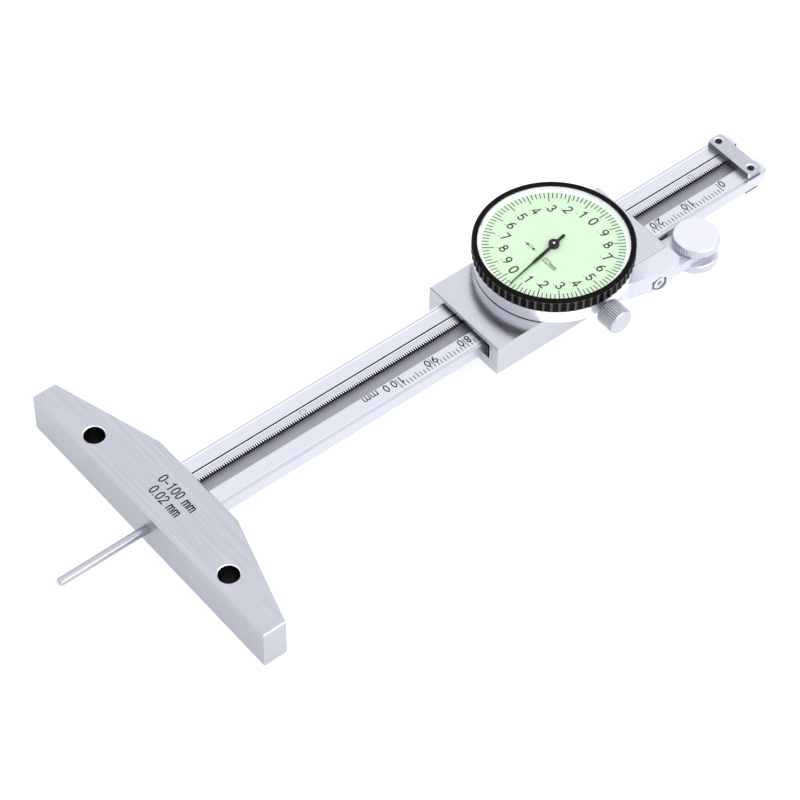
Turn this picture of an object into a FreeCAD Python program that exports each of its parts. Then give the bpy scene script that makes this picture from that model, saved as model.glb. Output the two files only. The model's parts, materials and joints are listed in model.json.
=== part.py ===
import FreeCAD, Part
import Sketcher
import math
import os
import re

# Dial depth gauge, reading 0 to 100 mm with 2 mm to a turn of the hand. Millimetres.
# The origin is the middle of the depth rod where it leaves the measuring face.
# +X runs along the base, +Y along the beam away from the measuring face, +Z to the dial side.

os.makedirs("parts", exist_ok=True)
doc = FreeCAD.newDocument("dial_depth_gauge")
V = FreeCAD.Vector
Rotation = FreeCAD.Rotation
Placement = FreeCAD.Placement

# Driving dimensions, each written once.
SIZES = {
    # Base
    "base_length": 87.0, "base_depth": 15.0, "base_end_depth": 6.25, "base_mid_half": 14.6,
    "base_thick": 11.3, "base_above_scale": 1.3, "base_corner_round": 2.5, "base_edge_break": 0.3,
    "base_hole_spacing": 50.7, "base_hole_from_face": 4.35, "base_hole_dia": 5.0, "base_hole_break": 0.25,
    "rod_hole_flare": 0.35, "beam_in_base": 9.0,
    "dowel_dia": 2.5, "dowel_spacing": 10.4, "dowel_in_beam": 3.0,
    # Beam and rack
    "beam_width": 15.9, "beam_thick": 3.5, "beam_length": 176.2, "beam_strip_width": 1.0,
    "beam_strip_drop": 0.2, "beam_end_break": 0.8,
    "channel_far": 3.49, "channel_near": 3.17, "channel_depth": 1.3,
    "rack_pitch": 0.625, "rack_tip_from_middle": 0.59, "rack_gap": 0.2, "rack_below_scale": 0.05,
    "rack_tooth_deep": 0.64,
    "rack_from_base": 0.3, "rack_from_end": 1.0, "rack_pin_dia": 1.3, "rack_pin_near": 46.2,
    "rack_pin_from_end": 16.5, "rack_pin_depth": 1.6,
    # Plates at the far end of the beam
    "stop_length": 14.9, "stop_width": 4.2, "stop_thick": 1.6, "stop_from_end": 1.95, "stop_break": 0.3,
    "under_width": 4.0, "under_thick": 0.5, "stop_screw_half": 5.8, "stop_screw_dia": 1.2,
    "stop_head_dia": 1.7, "stop_sink": 0.25, "stop_head_high": 0.7, "stop_head_sunk": 0.45,
    "head_play": 0.1, "slot_width": 0.35,
    # Depth rod and the reading that the gauge stands at
    "rod_dia": 2.2, "rod_tip_break": 0.3, "rod_beam_gap": 0.2, "rod_running_gap": 0.06, "rod_in_slider": 46.0,
    "scale_zero": 168.74, "reading": 24.06,
    # Slider
    "slider_length": 52.7, "slider_far": 12.3, "slider_near": 12.8, "slider_above_scale": 2.0,
    "slider_thick": 8.9, "slider_edge_break": 0.25, "slide_gap": 0.05, "gib_room": 1.9, "roof_relief": 1.0,
    "roof_ledge": 0.75, "gib_thick": 1.3, "gib_play": 0.04, "gib_end_gap": 0.1, "leaf_end_gap": 3.0,
    "leaf_thick": 0.2,
    "rod_screw_dia": 2.0, "rod_screw_front": 8.0, "rod_screw_back": 38.0,
    # Dial housing and bezel
    "dial_from_edge": 25.0, "housing_radius": 19.0, "housing_high": 4.0, "housing_wall": 1.2,
    "housing_floor": 0.8, "housing_neck": 0.45, "housing_neck_high": 0.3, "housing_screw_dia": 1.6,
    "housing_screw_head": 2.9,
    "housing_head_high": 0.6, "housing_screw_deep": 3.3, "housing_screw_half": 10.0,
    "bezel_radius": 19.5, "bezel_rim_radius": 18.2, "bezel_high": 3.7, "bezel_gap": 0.1, "bezel_break": 0.3,
    "skirt_inner_radius": 16.2, "skirt_gap": 0.6, "skirt_high": 1.2, "flute_count": 64.0, "flute_radius": 1.2,
    "flute_depth": 0.32, "flute_margin": 0.45, "ring_groove": 0.3, "ring_thick": 0.3, "ring_play": 0.05,
    "ring_opening": 26.0,
    # Dial, crystal and hand
    "dial_recess": 1.6, "dial_thick": 0.4, "dial_hole_dia": 1.6, "dial_play": 0.05, "spacer_wall": 0.4,
    "crystal_thick": 0.45, "crystal_below_rim": 0.1,
    "hand_length": 16.3, "hand_tail": 4.0, "hand_thick": 0.15, "hand_above_dial": 0.35,
    "hub_radius": 1.3, "hub_gap": 0.1, "hub_high": 0.85, "hand_turn_for": 2.0,
    "hand_wide": 0.8, "hand_narrow": 0.42, "hand_step": 7.0,
    # Movement
    "pinion_teeth": 16.0, "wheel_teeth": 100.0, "centre_teeth": 20.0, "backlash_teeth": 80.0,
    "fine_module": 0.15, "tooth_play": 0.09,
    "pinion_above_floor": 0.15, "pinion_high": 1.0, "window_gap": 0.35,
    "wheel_lift": 0.6, "wheel_thick": 0.5, "centre_pinion_lift": 0.45, "centre_pinion_high": 1.6,
    "backlash_lift": 1.45, "backlash_thick": 0.4, "arbor_radius": 0.5, "centre_arbor_radius": 0.4,
    "pivot_radius": 0.3, "pivot_gap": 0.03, "backlash_angle": 200.0, "spring_gap": 0.08, "spring_high": 0.22,
    "spring_wire": 0.1, "spring_pitch": 0.42, "spring_turns": 7.0, "pillar_high": 2.3, "pillar_radius": 1.2,
    "pillar_ring": 11.8, "bridge_radius": 14.0, "bridge_thick": 0.6, "bridge_screw_radius": 0.5,
    "bridge_head_radius": 1.0, "bridge_head_high": 0.45, "bridge_screw_deep": 1.6,
    # Bezel clamp
    "clamp_lift": 1.4, "clamp_offset": 0.5, "clamp_dia": 6.7, "clamp_long": 5.3, "clamp_from_centre": 20.0,
    "clamp_shank_dia": 2.5, "clamp_teeth": 36.0, "knurl_depth": 0.16, "clamp_break": 0.35, "shoe_thick": 0.4,
    "shoe_play": 0.08, "shoe_low": 1.0, "shoe_high": 2.9, "shoe_angle": 6.0, "screw_running_gap": 0.03,
    # Thumb rest with its arm, and the thumb roller
    "rest_start": 18.2, "rest_top_gap": 0.1, "rest_high": 6.3, "rest_seat_gap": 0.02, "rest_front_out": 1.7,
    "rest_mid_out": 3.6, "rest_mid": 8.7, "rest_peak_out": 5.9, "rest_peak": 6.1, "rest_end_out": 4.4,
    "rest_bottom_break": 0.8, "rib_count": 4.0, "rib_pitch": 2.3, "rib_radius": 0.55, "rest_hex_across": 4.6,
    "rest_hex_deep": 1.5, "rest_hex_from_edge": 7.1, "rest_hex_height": 3.2, "rest_screw_dia": 2.0,
    "rest_head_dia": 3.2, "rest_head_high": 1.0, "rest_socket": 1.5, "rest_screw_deep": 2.4,
    "arm_low": 0.55, "arm_thick": 2.75, "arm_gap": 0.45, "arm_boss_radius": 3.4, "arm_flank": 5.2,
    "roller_radius": 5.8, "roller_beam_gap": 0.05, "roller_beyond": 8.5, "roller_disc_high": 2.45,
    "roller_lower_high": 2.5, "roller_side_gap": 0.1, "roller_teeth": 52.0, "roller_break": 0.35,
    "roller_pin_radius": 1.0, "roller_pin_gap": 0.04,
}

sheet = doc.addObject("Spreadsheet::Sheet", "Sizes")
for row, (alias, size) in enumerate(SIZES.items(), start=1):
    sheet.set("A%d" % row, alias)
    sheet.set("B%d" % row, str(size))
    sheet.setAlias("B%d" % row, alias)
doc.recompute()

# Places worked out from the driving dimensions, shared by the expressions and the code.
places = doc.addObject("App::FeaturePython", "Places")
derived = []


def bound(expression):
    """The expression with each size and place written as FreeCAD needs it."""
    def full_name(found):
        word = found.group(0)
        if word in SIZES:
            return "Sizes." + word
        if word in derived:
            return "Places." + word
        return word
    return re.sub(r"[a-z][a-z_]*", full_name, expression)


def place_value(name, expression):
    """Adds one worked-out place or size."""
    places.addProperty("App::PropertyFloat", name, "Places")
    places.setExpression(name, bound(expression))
    derived.append(name)


def number(name):
    """The value of a size or a place, for code that builds a shape itself."""
    return float(getattr(places if name in derived else sheet, name))


# Heights
place_value("rod_radius", "rod_dia / 2")
place_value("beam_bottom", "rod_radius + rod_beam_gap")
place_value("scale_top", "beam_bottom + beam_thick")
place_value("channel_floor", "scale_top - channel_depth")
place_value("base_top", "scale_top + base_above_scale")
place_value("base_bottom", "base_top - base_thick")
place_value("slider_top", "scale_top + slider_above_scale")
place_value("slider_bottom", "slider_top - slider_thick")
place_value("floor_top", "slider_top + housing_floor")
place_value("housing_top", "slider_top + housing_high")
place_value("bezel_bottom", "housing_top + bezel_gap")
place_value("bezel_top", "bezel_bottom + bezel_high")
place_value("dial_top", "bezel_top - dial_recess")
place_value("dial_bottom", "dial_top - dial_thick")
place_value("crystal_top", "bezel_top - crystal_below_rim")
place_value("crystal_bottom", "crystal_top - crystal_thick")
place_value("skirt_bottom", "bezel_bottom - skirt_high")
place_value("ring_bottom", "housing_top - skirt_high / 2 - ring_thick / 2")
place_value("bridge_bottom", "floor_top + pillar_high")
place_value("bridge_top", "bridge_bottom + bridge_thick")
place_value("rest_top", "slider_top - rest_top_gap")
place_value("rest_bottom", "rest_top - rest_high")
place_value("arm_top", "arm_low + arm_thick")
# Along X
place_value("beam_half", "beam_width / 2")
place_value("land_half", "beam_half - beam_strip_width")
place_value("tunnel_far", "beam_half + slide_gap")
place_value("tunnel_near", "beam_half + slide_gap + gib_room")
place_value("gib_near", "beam_half + gib_play + gib_thick")
place_value("pitch_radius", "pinion_teeth * rack_pitch / (2 * pi)")
place_value("rack_module", "rack_pitch / pi")
place_value("pinion_x", "pitch_radius - rack_tip_from_middle - rack_module")
place_value("roller_x", "beam_half + roller_beam_gap + roller_radius")
place_value("arm_inner", "beam_half + arm_gap")
place_value("rest_seat", "slider_near + rest_seat_gap")
place_value("screw_far_x", "-(slider_far + tunnel_far) / 2")
place_value("screw_near_x", "(slider_near + tunnel_near) / 2")
# Along Y
place_value("beam_start", "base_depth - beam_in_base")
place_value("beam_end", "beam_start + beam_length")
place_value("rack_pin_far", "beam_end - rack_pin_from_end")
place_value("stop_end", "beam_end - stop_from_end")
place_value("stop_start", "stop_end - stop_width")
place_value("slider_edge", "scale_zero - reading")
place_value("slider_front", "slider_edge - slider_length")
place_value("dial_y", "slider_edge - dial_from_edge")
place_value("wheel_distance", "fine_module * (wheel_teeth + centre_teeth) / 2")
place_value("pinion_y", "dial_y + sqrt(wheel_distance * wheel_distance - pinion_x * pinion_x)")
place_value("backlash_distance", "fine_module * (backlash_teeth + centre_teeth) / 2")
place_value("backlash_x", "backlash_distance * cos(backlash_angle * 1 deg)")
place_value("backlash_y", "dial_y + backlash_distance * sin(backlash_angle * 1 deg)")
place_value("roller_y", "slider_edge + roller_beyond")
place_value("clamp_y", "dial_y - clamp_offset")
place_value("clamp_z", "slider_top + clamp_lift")
place_value("rest_front_y", "slider_edge - rest_start")
place_value("rest_mid_y", "slider_edge - rest_mid - rest_peak")
place_value("rest_peak_y", "slider_edge - rest_peak")
place_value("rest_screw_y", "slider_edge - rest_hex_from_edge")
place_value("rest_screw_x", "rest_seat + rest_peak_out - rest_hex_deep")
# Radii
place_value("housing_inner", "housing_radius - housing_wall")
place_value("skirt_outer", "housing_inner - skirt_gap")
place_value("dial_radius", "bezel_rim_radius - dial_play")
doc.recompute()

AXES = {"Z": Rotation(), "X": Rotation(V(0, 1, 0), 90), "Y": Rotation(V(1, 0, 0), -90)}
PILLAR_ANGLES = (25, 145, 285)      # degrees round the dial's middle, clear of the gears
TOOTH_TIP, TOOTH_ROOT = 0.25, 0.725     # half widths, as shares of the tooth's thickness at the pitch line
nodes = {}


def bind(piece, **sizes):
    """Ties properties of an object to expressions."""
    for name, expression in sizes.items():
        piece.setExpression(name, bound(expression))


def put(piece, x, y, z, axis="Z"):
    """Ties an object's place to expressions, with its own axis along X, Y or Z."""
    piece.Placement = Placement(V(), AXES[axis])
    for letter, expression in zip("xyz", (x, y, z)):
        piece.setExpression("Placement.Base." + letter, bound(expression))


def solid_box(name, x, y, z, long_x, long_y, long_z):
    box = doc.addObject("Part::Box", name)
    bind(box, Length=long_x, Width=long_y, Height=long_z)
    put(box, x, y, z)
    return box


def cylinder(name, axis, x, y, z, radius, length):
    rod = doc.addObject("Part::Cylinder", name)
    bind(rod, Radius=radius, Height=length)
    put(rod, x, y, z, axis)
    return rod


def cone(name, axis, x, y, z, start, end, length):
    taper = doc.addObject("Part::Cone", name)
    bind(taper, Radius1=start, Radius2=end, Height=length)
    put(taper, x, y, z, axis)
    return taper


def fuse(name, pieces):
    joined = doc.addObject("Part::MultiFuse", name)
    joined.Shapes = pieces
    return joined


def cut(name, base, tools):
    cutter = tools[0] if len(tools) == 1 else fuse(name + "_tools", tools)
    piece = doc.addObject("Part::Cut", name)
    piece.Base = base
    piece.Tool = cutter
    return piece


def node(name, piece):
    """Gives a finished sub-part its name."""
    piece.Label = name
    nodes[name] = piece
    return piece


def made(name, shape):
    """A sub-part whose shape the code builds itself."""
    piece = doc.addObject("Part::Feature", name + "_shape")
    piece.Shape = shape
    return node(name, piece)


def new_body(name):
    return doc.addObject("PartDesign::Body", name + "_body")


def origin_item(body, role):
    return next(item for item in body.Origin.OriginFeatures if item.Role == role)


def sketch(body, name, role, offset="0"):
    """A sketch on one of the body's own origin planes, moved along its normal."""
    drawing = body.newObject("Sketcher::SketchObject", name)
    drawing.AttachmentSupport = [(origin_item(body, role), "")]
    drawing.MapMode = "FlatFace"
    drawing.setExpression("AttachmentOffset.Base.z", bound(offset))
    return drawing


def outline(drawing, points):
    """A closed outline whose corners are tied to expressions."""
    count = len(points)
    ring = [V(10 * math.cos(2 * math.pi * k / count), 10 * math.sin(2 * math.pi * k / count), 0)
            for k in range(count)]
    for k in range(count):
        drawing.addGeometry(Part.LineSegment(ring[k], ring[(k + 1) % count]), False)
    for k in range(count):
        drawing.addConstraint(Sketcher.Constraint("Coincident", k, 2, (k + 1) % count, 1))
    for k, corner in enumerate(points):
        for kind, expression, start in zip(("DistanceX", "DistanceY"), corner, (ring[k].x, ring[k].y)):
            index = drawing.addConstraint(Sketcher.Constraint(kind, -1, 1, k, 1, start))
            drawing.setExpression("Constraints[%d]" % index, bound(expression))


def pad(body, drawing, length, backward=False):
    feature = body.newObject("PartDesign::Pad", drawing.Name + "_pad")
    feature.Profile = drawing
    feature.Reversed = backward
    bind(feature, Length=length)
    return feature


def carve_box(body, name, x, y, z, long_x, long_y, long_z):
    box = body.newObject("PartDesign::SubtractiveBox", name)
    bind(box, Length=long_x, Width=long_y, Height=long_z)
    put(box, x, y, z)
    return box


def carve_cylinder(body, name, axis, x, y, z, radius, length):
    hole = body.newObject("PartDesign::SubtractiveCylinder", name)
    bind(hole, Radius=radius, Height=length)
    put(hole, x, y, z, axis)
    return hole


def carve_cone(body, name, axis, x, y, z, start, end, length):
    hole = body.newObject("PartDesign::SubtractiveCone", name)
    bind(hole, Radius1=start, Radius2=end, Height=length)
    put(hole, x, y, z, axis)
    return hole


def edges_where(feature, test):
    """Names of the edges whose bounding box passes the test."""
    doc.recompute()
    return ["Edge%d" % (k + 1) for k, edge in enumerate(feature.Shape.Edges) if test(edge.BoundBox)]


def dress(body, kind, name, base, test, size):
    """A chamfer or a fillet on the chosen edges."""
    chosen = edges_where(base, test)
    feature = body.newObject("PartDesign::" + kind, name)
    feature.Base = (base, chosen)
    bind(feature, **{"Size" if kind == "Chamfer" else "Radius": size})
    return feature


def near(first, second):
    return abs(first - second) < 1e-4


def toothed(teeth, tip, root, thick_share, phase):
    """A closed ring of trapezoid teeth in the XY plane, one tooth centred at the phase, in degrees."""
    points = []
    step = 2 * math.pi / teeth
    start = math.radians(phase)
    for k in range(int(round(teeth))):
        middle = start + k * step
        for radius, side in ((root, -TOOTH_ROOT), (tip, -TOOTH_TIP), (tip, TOOTH_TIP), (root, TOOTH_ROOT)):
            angle = middle + side * thick_share * step
            points.append(V(radius * math.cos(angle), radius * math.sin(angle), 0))
    points.append(points[0])
    return points


def gear(teeth, module, high, phase, x, y, z):
    """A spur gear as a solid, with backlash on its teeth."""
    pitch = teeth * module / 2
    share = 0.5 - number("tooth_play")
    ring = toothed(teeth, pitch + 0.9 * module, pitch - 1.15 * module, share, phase)
    solid = Part.Face(Part.makePolygon(ring)).extrude(V(0, 0, high))
    solid.translate(V(x, y, z))
    return solid


def post(radius, x, y, low, high):
    return Part.makeCylinder(radius, high - low, V(x, y, low))


def knurled(teeth, radius, depth, high, edge_break):
    """A straight-knurled disc with broken edges, standing on the XY plane."""
    ring = toothed(teeth, radius, radius - depth, 0.42, 0)
    disc = Part.Face(Part.makePolygon(ring)).extrude(V(0, 0, high))
    profile = [V(0, 0, 0), V(radius - edge_break, 0, 0), V(radius, 0, edge_break),
               V(radius, 0, high - edge_break), V(radius - edge_break, 0, high), V(0, 0, high), V(0, 0, 0)]
    turned = Part.Face(Part.makePolygon(profile)).revolve(V(), V(0, 0, 1), 360)
    return disc.common(turned)


def build_base():
    """The measuring base: a bar with slanted back corners, two holes and a slot for the beam."""
    body = new_body("base")
    plan = sketch(body, "base_plan", "XY_Plane", "base_bottom")
    outline(plan, [("-base_length / 2", "0"), ("base_length / 2", "0"),
                   ("base_length / 2", "base_end_depth"), ("base_mid_half", "base_depth"),
                   ("-base_mid_half", "base_depth"), ("-base_length / 2", "base_end_depth")])
    block = pad(body, plan, "base_thick")
    deep, middle = number("base_depth"), number("base_mid_half")
    rounded = dress(body, "Fillet", "base_rounds", block,
                    lambda b: near(b.YMin, deep) and b.ZLength > 1 and near(abs(b.XMin), middle),
                    "base_corner_round")
    low, high = number("base_bottom"), number("base_top")
    dress(body, "Chamfer", "base_edges", rounded,
          lambda b: b.ZLength < 1e-6 and (near(b.ZMin, low) or near(b.ZMin, high)), "base_edge_break")
    for side, name in ((-1, "left"), (1, "right")):
        x = "%d * base_hole_spacing / 2" % side
        carve_cylinder(body, "base_hole_" + name, "Z", x, "base_hole_from_face", "base_bottom",
                       "base_hole_dia / 2", "base_thick")
        carve_cone(body, "base_hole_top_" + name, "Z", x, "base_hole_from_face", "base_top - base_hole_break",
                   "base_hole_dia / 2", "base_hole_dia / 2 + base_hole_break", "base_hole_break")
        carve_cone(body, "base_hole_low_" + name, "Z", x, "base_hole_from_face", "base_bottom",
                   "base_hole_dia / 2 + base_hole_break", "base_hole_dia / 2", "base_hole_break")
        carve_cylinder(body, "base_dowel_hole_" + name, "Z", "%d * dowel_spacing / 2" % side,
                       "base_depth - beam_in_base / 2", "base_bottom", "dowel_dia / 2",
                       "beam_bottom - base_bottom")
    carve_box(body, "base_beam_slot", "-beam_half", "beam_start", "beam_bottom",
              "beam_width", "beam_in_base", "beam_thick")
    carve_cylinder(body, "base_rod_bore", "Y", "0", "0", "0", "rod_radius + rod_running_gap", "base_depth")
    carve_cone(body, "base_rod_flare", "Y", "0", "0", "0", "rod_radius + rod_hole_flare",
               "rod_radius + rod_running_gap", "rod_hole_flare")
    node("base", body)


def build_beam():
    """The graduated beam, with a channel for the rack and a low strip along both edges."""
    body = new_body("beam")
    section = sketch(body, "beam_section", "XZ_Plane", "-beam_start")
    strip = "scale_top - beam_strip_drop"
    outline(section, [("-beam_half", "beam_bottom"), ("beam_half", "beam_bottom"), ("beam_half", strip),
                      ("land_half", strip), ("land_half", "scale_top"), ("channel_near", "scale_top"),
                      ("channel_near", "channel_floor"), ("-channel_far", "channel_floor"),
                      ("-channel_far", "scale_top"), ("-land_half", "scale_top"), ("-land_half", strip),
                      ("-beam_half", strip)])
    bar = pad(body, section, "beam_length", backward=True)
    end, half = number("beam_end"), number("beam_half")
    dress(body, "Chamfer", "beam_corners", bar,
          lambda b: near(b.YMin, end) and near(abs(b.XMin), half) and b.XLength < 1e-6 and b.ZLength > 1,
          "beam_end_break")
    for side, name in ((-1, "left"), (1, "right")):
        carve_cylinder(body, "beam_stop_hole_" + name, "Z", "%d * stop_screw_half" % side,
                       "stop_start + stop_width / 2", "beam_bottom", "stop_screw_dia / 2", "beam_thick")
        carve_cylinder(body, "beam_dowel_hole_" + name, "Z", "%d * dowel_spacing / 2" % side,
                       "base_depth - beam_in_base / 2", "beam_bottom", "dowel_dia / 2", "dowel_in_beam")
    for name in ("near", "far"):
        carve_cylinder(body, "beam_pin_hole_" + name, "Z", "-(channel_far + rack_tip_from_middle) / 2",
                       "rack_pin_" + name, "channel_floor - rack_pin_depth / 2", "rack_pin_dia / 2",
                       "rack_pin_depth / 2")
    node("beam", body)


def build_rack():
    """The rack, with a gap of its teeth facing the pinion, and the two pins that hold it."""
    pitch = number("rack_pitch")
    tip = -number("rack_tip_from_middle")
    root = tip - number("rack_tooth_deep")
    back = -number("channel_far") + number("rack_gap")
    first = number("base_depth") + number("rack_from_base")
    last = number("beam_end") - number("rack_from_end")
    phase = (number("pinion_y") + pitch / 2 - first) % pitch
    tooth = (0.5 - number("tooth_play")) * pitch
    half_tip, half_root = tooth * TOOTH_TIP, tooth * TOOTH_ROOT
    points = [V(back, first, 0), V(root, first, 0)]
    for k in range(int((last - first - 2 * pitch) / pitch)):
        middle = first + phase + (k + 0.5) * pitch + (pitch / 2 if phase < pitch / 2 else -pitch / 2)
        if middle - pitch / 2 < first:
            continue
        for x, along in ((root, -half_root), (tip, -half_tip), (tip, half_tip), (root, half_root)):
            points.append(V(x, middle + along, 0))
    points += [V(root, last, 0), V(back, last, 0), V(back, first, 0)]
    low = number("channel_floor")
    high = number("scale_top") - number("rack_below_scale")
    bar = Part.Face(Part.makePolygon(points)).extrude(V(0, 0, high - low))
    bar.translate(V(0, 0, low))
    pins = []
    middle_x = -(number("channel_far") + number("rack_tip_from_middle")) / 2
    for name in ("rack_pin_near", "rack_pin_far"):
        radius = number("rack_pin_dia") / 2
        foot = low - number("rack_pin_depth") / 2
        bar = bar.cut(post(radius, middle_x, number(name), foot, high))
        pins.append(post(radius, middle_x, number(name), foot, high))
    made("rack", bar)
    made("rack_pins", Part.makeCompound(pins))


def build_stops():
    """The stop plate on the far end, the plate under it and the screws that join them."""
    middle = "stop_start + stop_width / 2"
    top = solid_box("stop_block", "-stop_length / 2", "stop_start", "scale_top",
                    "stop_length", "stop_width", "stop_thick")
    under = solid_box("under_block", "-beam_half", "stop_start - under_width / 4",
                      "beam_bottom - under_thick", "beam_width", "under_width", "under_thick")
    top_holes, under_holes, screws = [], [], []
    head_bottom = "scale_top + stop_thick - stop_head_sunk - stop_head_high"
    for side, name in ((-1, "left"), (1, "right")):
        x = "%d * stop_screw_half" % side
        top_holes.append(cylinder("stop_hole_" + name, "Z", x, middle, "scale_top",
                                  "stop_screw_dia / 2", "stop_thick"))
        top_holes.append(cylinder("stop_sink_" + name, "Z", x, middle, head_bottom,
                                  "stop_head_dia / 2 + head_play", "stop_thick"))
        top_holes.append(cone("stop_bevel_" + name, "Z", x, middle, "scale_top + stop_thick - stop_sink",
                              "stop_head_dia / 2 + head_play", "stop_head_dia / 2 + head_play + stop_sink",
                              "stop_sink"))
        under_holes.append(cylinder("under_hole_" + name, "Z", x, middle, "beam_bottom - under_thick",
                                    "stop_screw_dia / 2", "under_thick"))
        shank = cylinder("stop_shank_" + name, "Z", x, middle, "beam_bottom - under_thick",
                         "stop_screw_dia / 2", head_bottom + " - beam_bottom + under_thick")
        head = cylinder("stop_head_" + name, "Z", x, middle, head_bottom,
                        "stop_head_dia / 2", "stop_head_high")
        slot = solid_box("stop_slot_" + name, x + " - stop_head_dia / 2", middle + " - slot_width / 2",
                         head_bottom + " + stop_head_high / 2",
                         "stop_head_dia", "slot_width", "stop_head_high")
        screws.append(cut("stop_screw_" + name, fuse("stop_blank_" + name, [shank, head]), [slot]))
    drilled = cut("stop_drilled", top, top_holes)
    low, high = number("scale_top"), number("scale_top") + number("stop_thick")
    chosen = [(int(edge[4:]), number("stop_break"), number("stop_break")) for edge in
              edges_where(drilled, lambda b: near(b.ZMin, low) and near(b.ZMax, high) and b.XLength < 1e-6)]
    corners = doc.addObject("Part::Chamfer", "stop_corners")
    corners.Base = drilled
    corners.Edges = chosen
    node("stop_plate", corners)
    node("under_plate", cut("under_drilled", under, under_holes))
    screw_group = doc.addObject("Part::Compound", "stop_screw_group")
    screw_group.Links = screws
    node("stop_screws", screw_group)
    dowels = doc.addObject("Part::Compound", "dowel_group")
    dowels.Links = [cylinder("dowel_" + name, "Z", "%d * dowel_spacing / 2" % side,
                             "base_depth - beam_in_base / 2", "base_bottom", "dowel_dia / 2",
                             "beam_bottom - base_bottom + dowel_in_beam")
                    for side, name in ((-1, "left"), (1, "right"))]
    node("base_dowels", dowels)


def build_slider():
    """The slider: a block round the beam, with a bore for the rod and room for the gib."""
    body = new_body("slider")
    plan = sketch(body, "slider_plan", "XY_Plane", "slider_bottom")
    outline(plan, [("-slider_far", "slider_front"), ("slider_near", "slider_front"),
                   ("slider_near", "slider_edge"), ("-slider_far", "slider_edge")])
    block = pad(body, plan, "slider_thick")
    dress(body, "Chamfer", "slider_edges", block, lambda b: b.ZLength < 1e-6, "slider_edge_break")
    carve_box(body, "slider_tunnel", "-tunnel_far", "slider_front", "beam_bottom - slide_gap",
              "tunnel_far + tunnel_near", "slider_length", "beam_thick + 2 * slide_gap")
    carve_box(body, "slider_roof", "-tunnel_far + roof_ledge", "slider_front", "scale_top",
              "tunnel_far + tunnel_near - roof_ledge", "slider_length", "roof_relief")
    carve_cylinder(body, "slider_rod_bore", "Y", "0", "slider_front", "0", "rod_radius", "rod_in_slider")
    carve_cylinder(body, "slider_window", "Z", "pinion_x", "pinion_y", "scale_top",
                   "pitch_radius + rack_module + window_gap", "slider_above_scale")
    for name in ("front", "back"):
        carve_cylinder(body, "slider_rod_screw_" + name, "Z", "0", "slider_front + rod_screw_" + name,
                       "slider_bottom", "rod_screw_dia / 2", "-slider_bottom")
    for x_name in ("screw_far_x", "screw_near_x"):
        for side, name in ((-1, "low"), (1, "high")):
            carve_cylinder(body, "slider_hole_%s_%s" % (x_name, name), "Z", x_name,
                           "dial_y + %d * housing_screw_half" % side, "slider_top - housing_screw_deep",
                           "housing_screw_dia / 2", "housing_screw_deep")
    carve_cylinder(body, "slider_rest_hole", "X", "slider_near - rest_screw_deep", "rest_screw_y",
                   "rest_hex_height", "rest_screw_dia / 2", "rest_screw_deep")
    node("slider_body", body)


def build_rod():
    """The depth rod and the two grub screws that hold it in the slider."""
    shaft = cylinder("rod_shaft", "Y", "0", "-reading + rod_tip_break", "0", "rod_radius",
                     "slider_front + rod_in_slider + reading - rod_tip_break")
    tip = cone("rod_tip", "Y", "0", "-reading", "0",
               "rod_radius - rod_tip_break", "rod_radius", "rod_tip_break")
    node("depth_rod", fuse("rod_blank", [shaft, tip]))
    screws = []
    for name in ("front", "back"):
        y = "slider_front + rod_screw_" + name
        plug = cylinder("rod_screw_plug_" + name, "Z", "0", y, "slider_bottom", "rod_screw_dia / 2",
                        "-rod_radius - slider_bottom")
        slot = solid_box("rod_screw_slot_" + name, "-rod_screw_dia / 2", y + " - slot_width / 2",
                         "slider_bottom", "rod_screw_dia", "slot_width", "slot_width")
        screws.append(cut("rod_screw_" + name, plug, [slot]))
    group = doc.addObject("Part::Compound", "rod_screw_group")
    group.Links = screws
    node("rod_screws", group)


def build_gib():
    """The gib strip on the beam's near edge and the bowed leaf spring behind it."""
    strip = solid_box("gib_bar", "beam_half + gib_play", "slider_front + gib_end_gap",
                      "beam_bottom + slide_gap", "gib_thick", "slider_length - 2 * gib_end_gap",
                      "beam_thick - 2 * slide_gap")
    node("gib_strip", strip)
    inner, outer = number("gib_near"), number("tunnel_near")
    thick = number("leaf_thick")
    low = number("slider_front") + number("leaf_end_gap")
    high = number("slider_edge") - number("leaf_end_gap")
    middle = (low + high) / 2
    first = Part.Arc(V(outer - thick, low, 0), V(inner, middle, 0), V(outer - thick, high, 0)).toShape()
    second = Part.Arc(V(outer, high, 0), V(inner + thick, middle, 0), V(outer, low, 0)).toShape()
    ends = [Part.makeLine(V(outer - thick, high, 0), V(outer, high, 0)),
            Part.makeLine(V(outer, low, 0), V(outer - thick, low, 0))]
    loop = Part.Wire(Part.__sortEdges__([first, ends[0], second, ends[1]]))
    leaf = Part.Face(loop).extrude(V(0, 0, number("beam_thick") - 4 * number("slide_gap")))
    leaf.translate(V(0, 0, number("beam_bottom") + 2 * number("slide_gap")))
    made("gib_spring", leaf)


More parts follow.
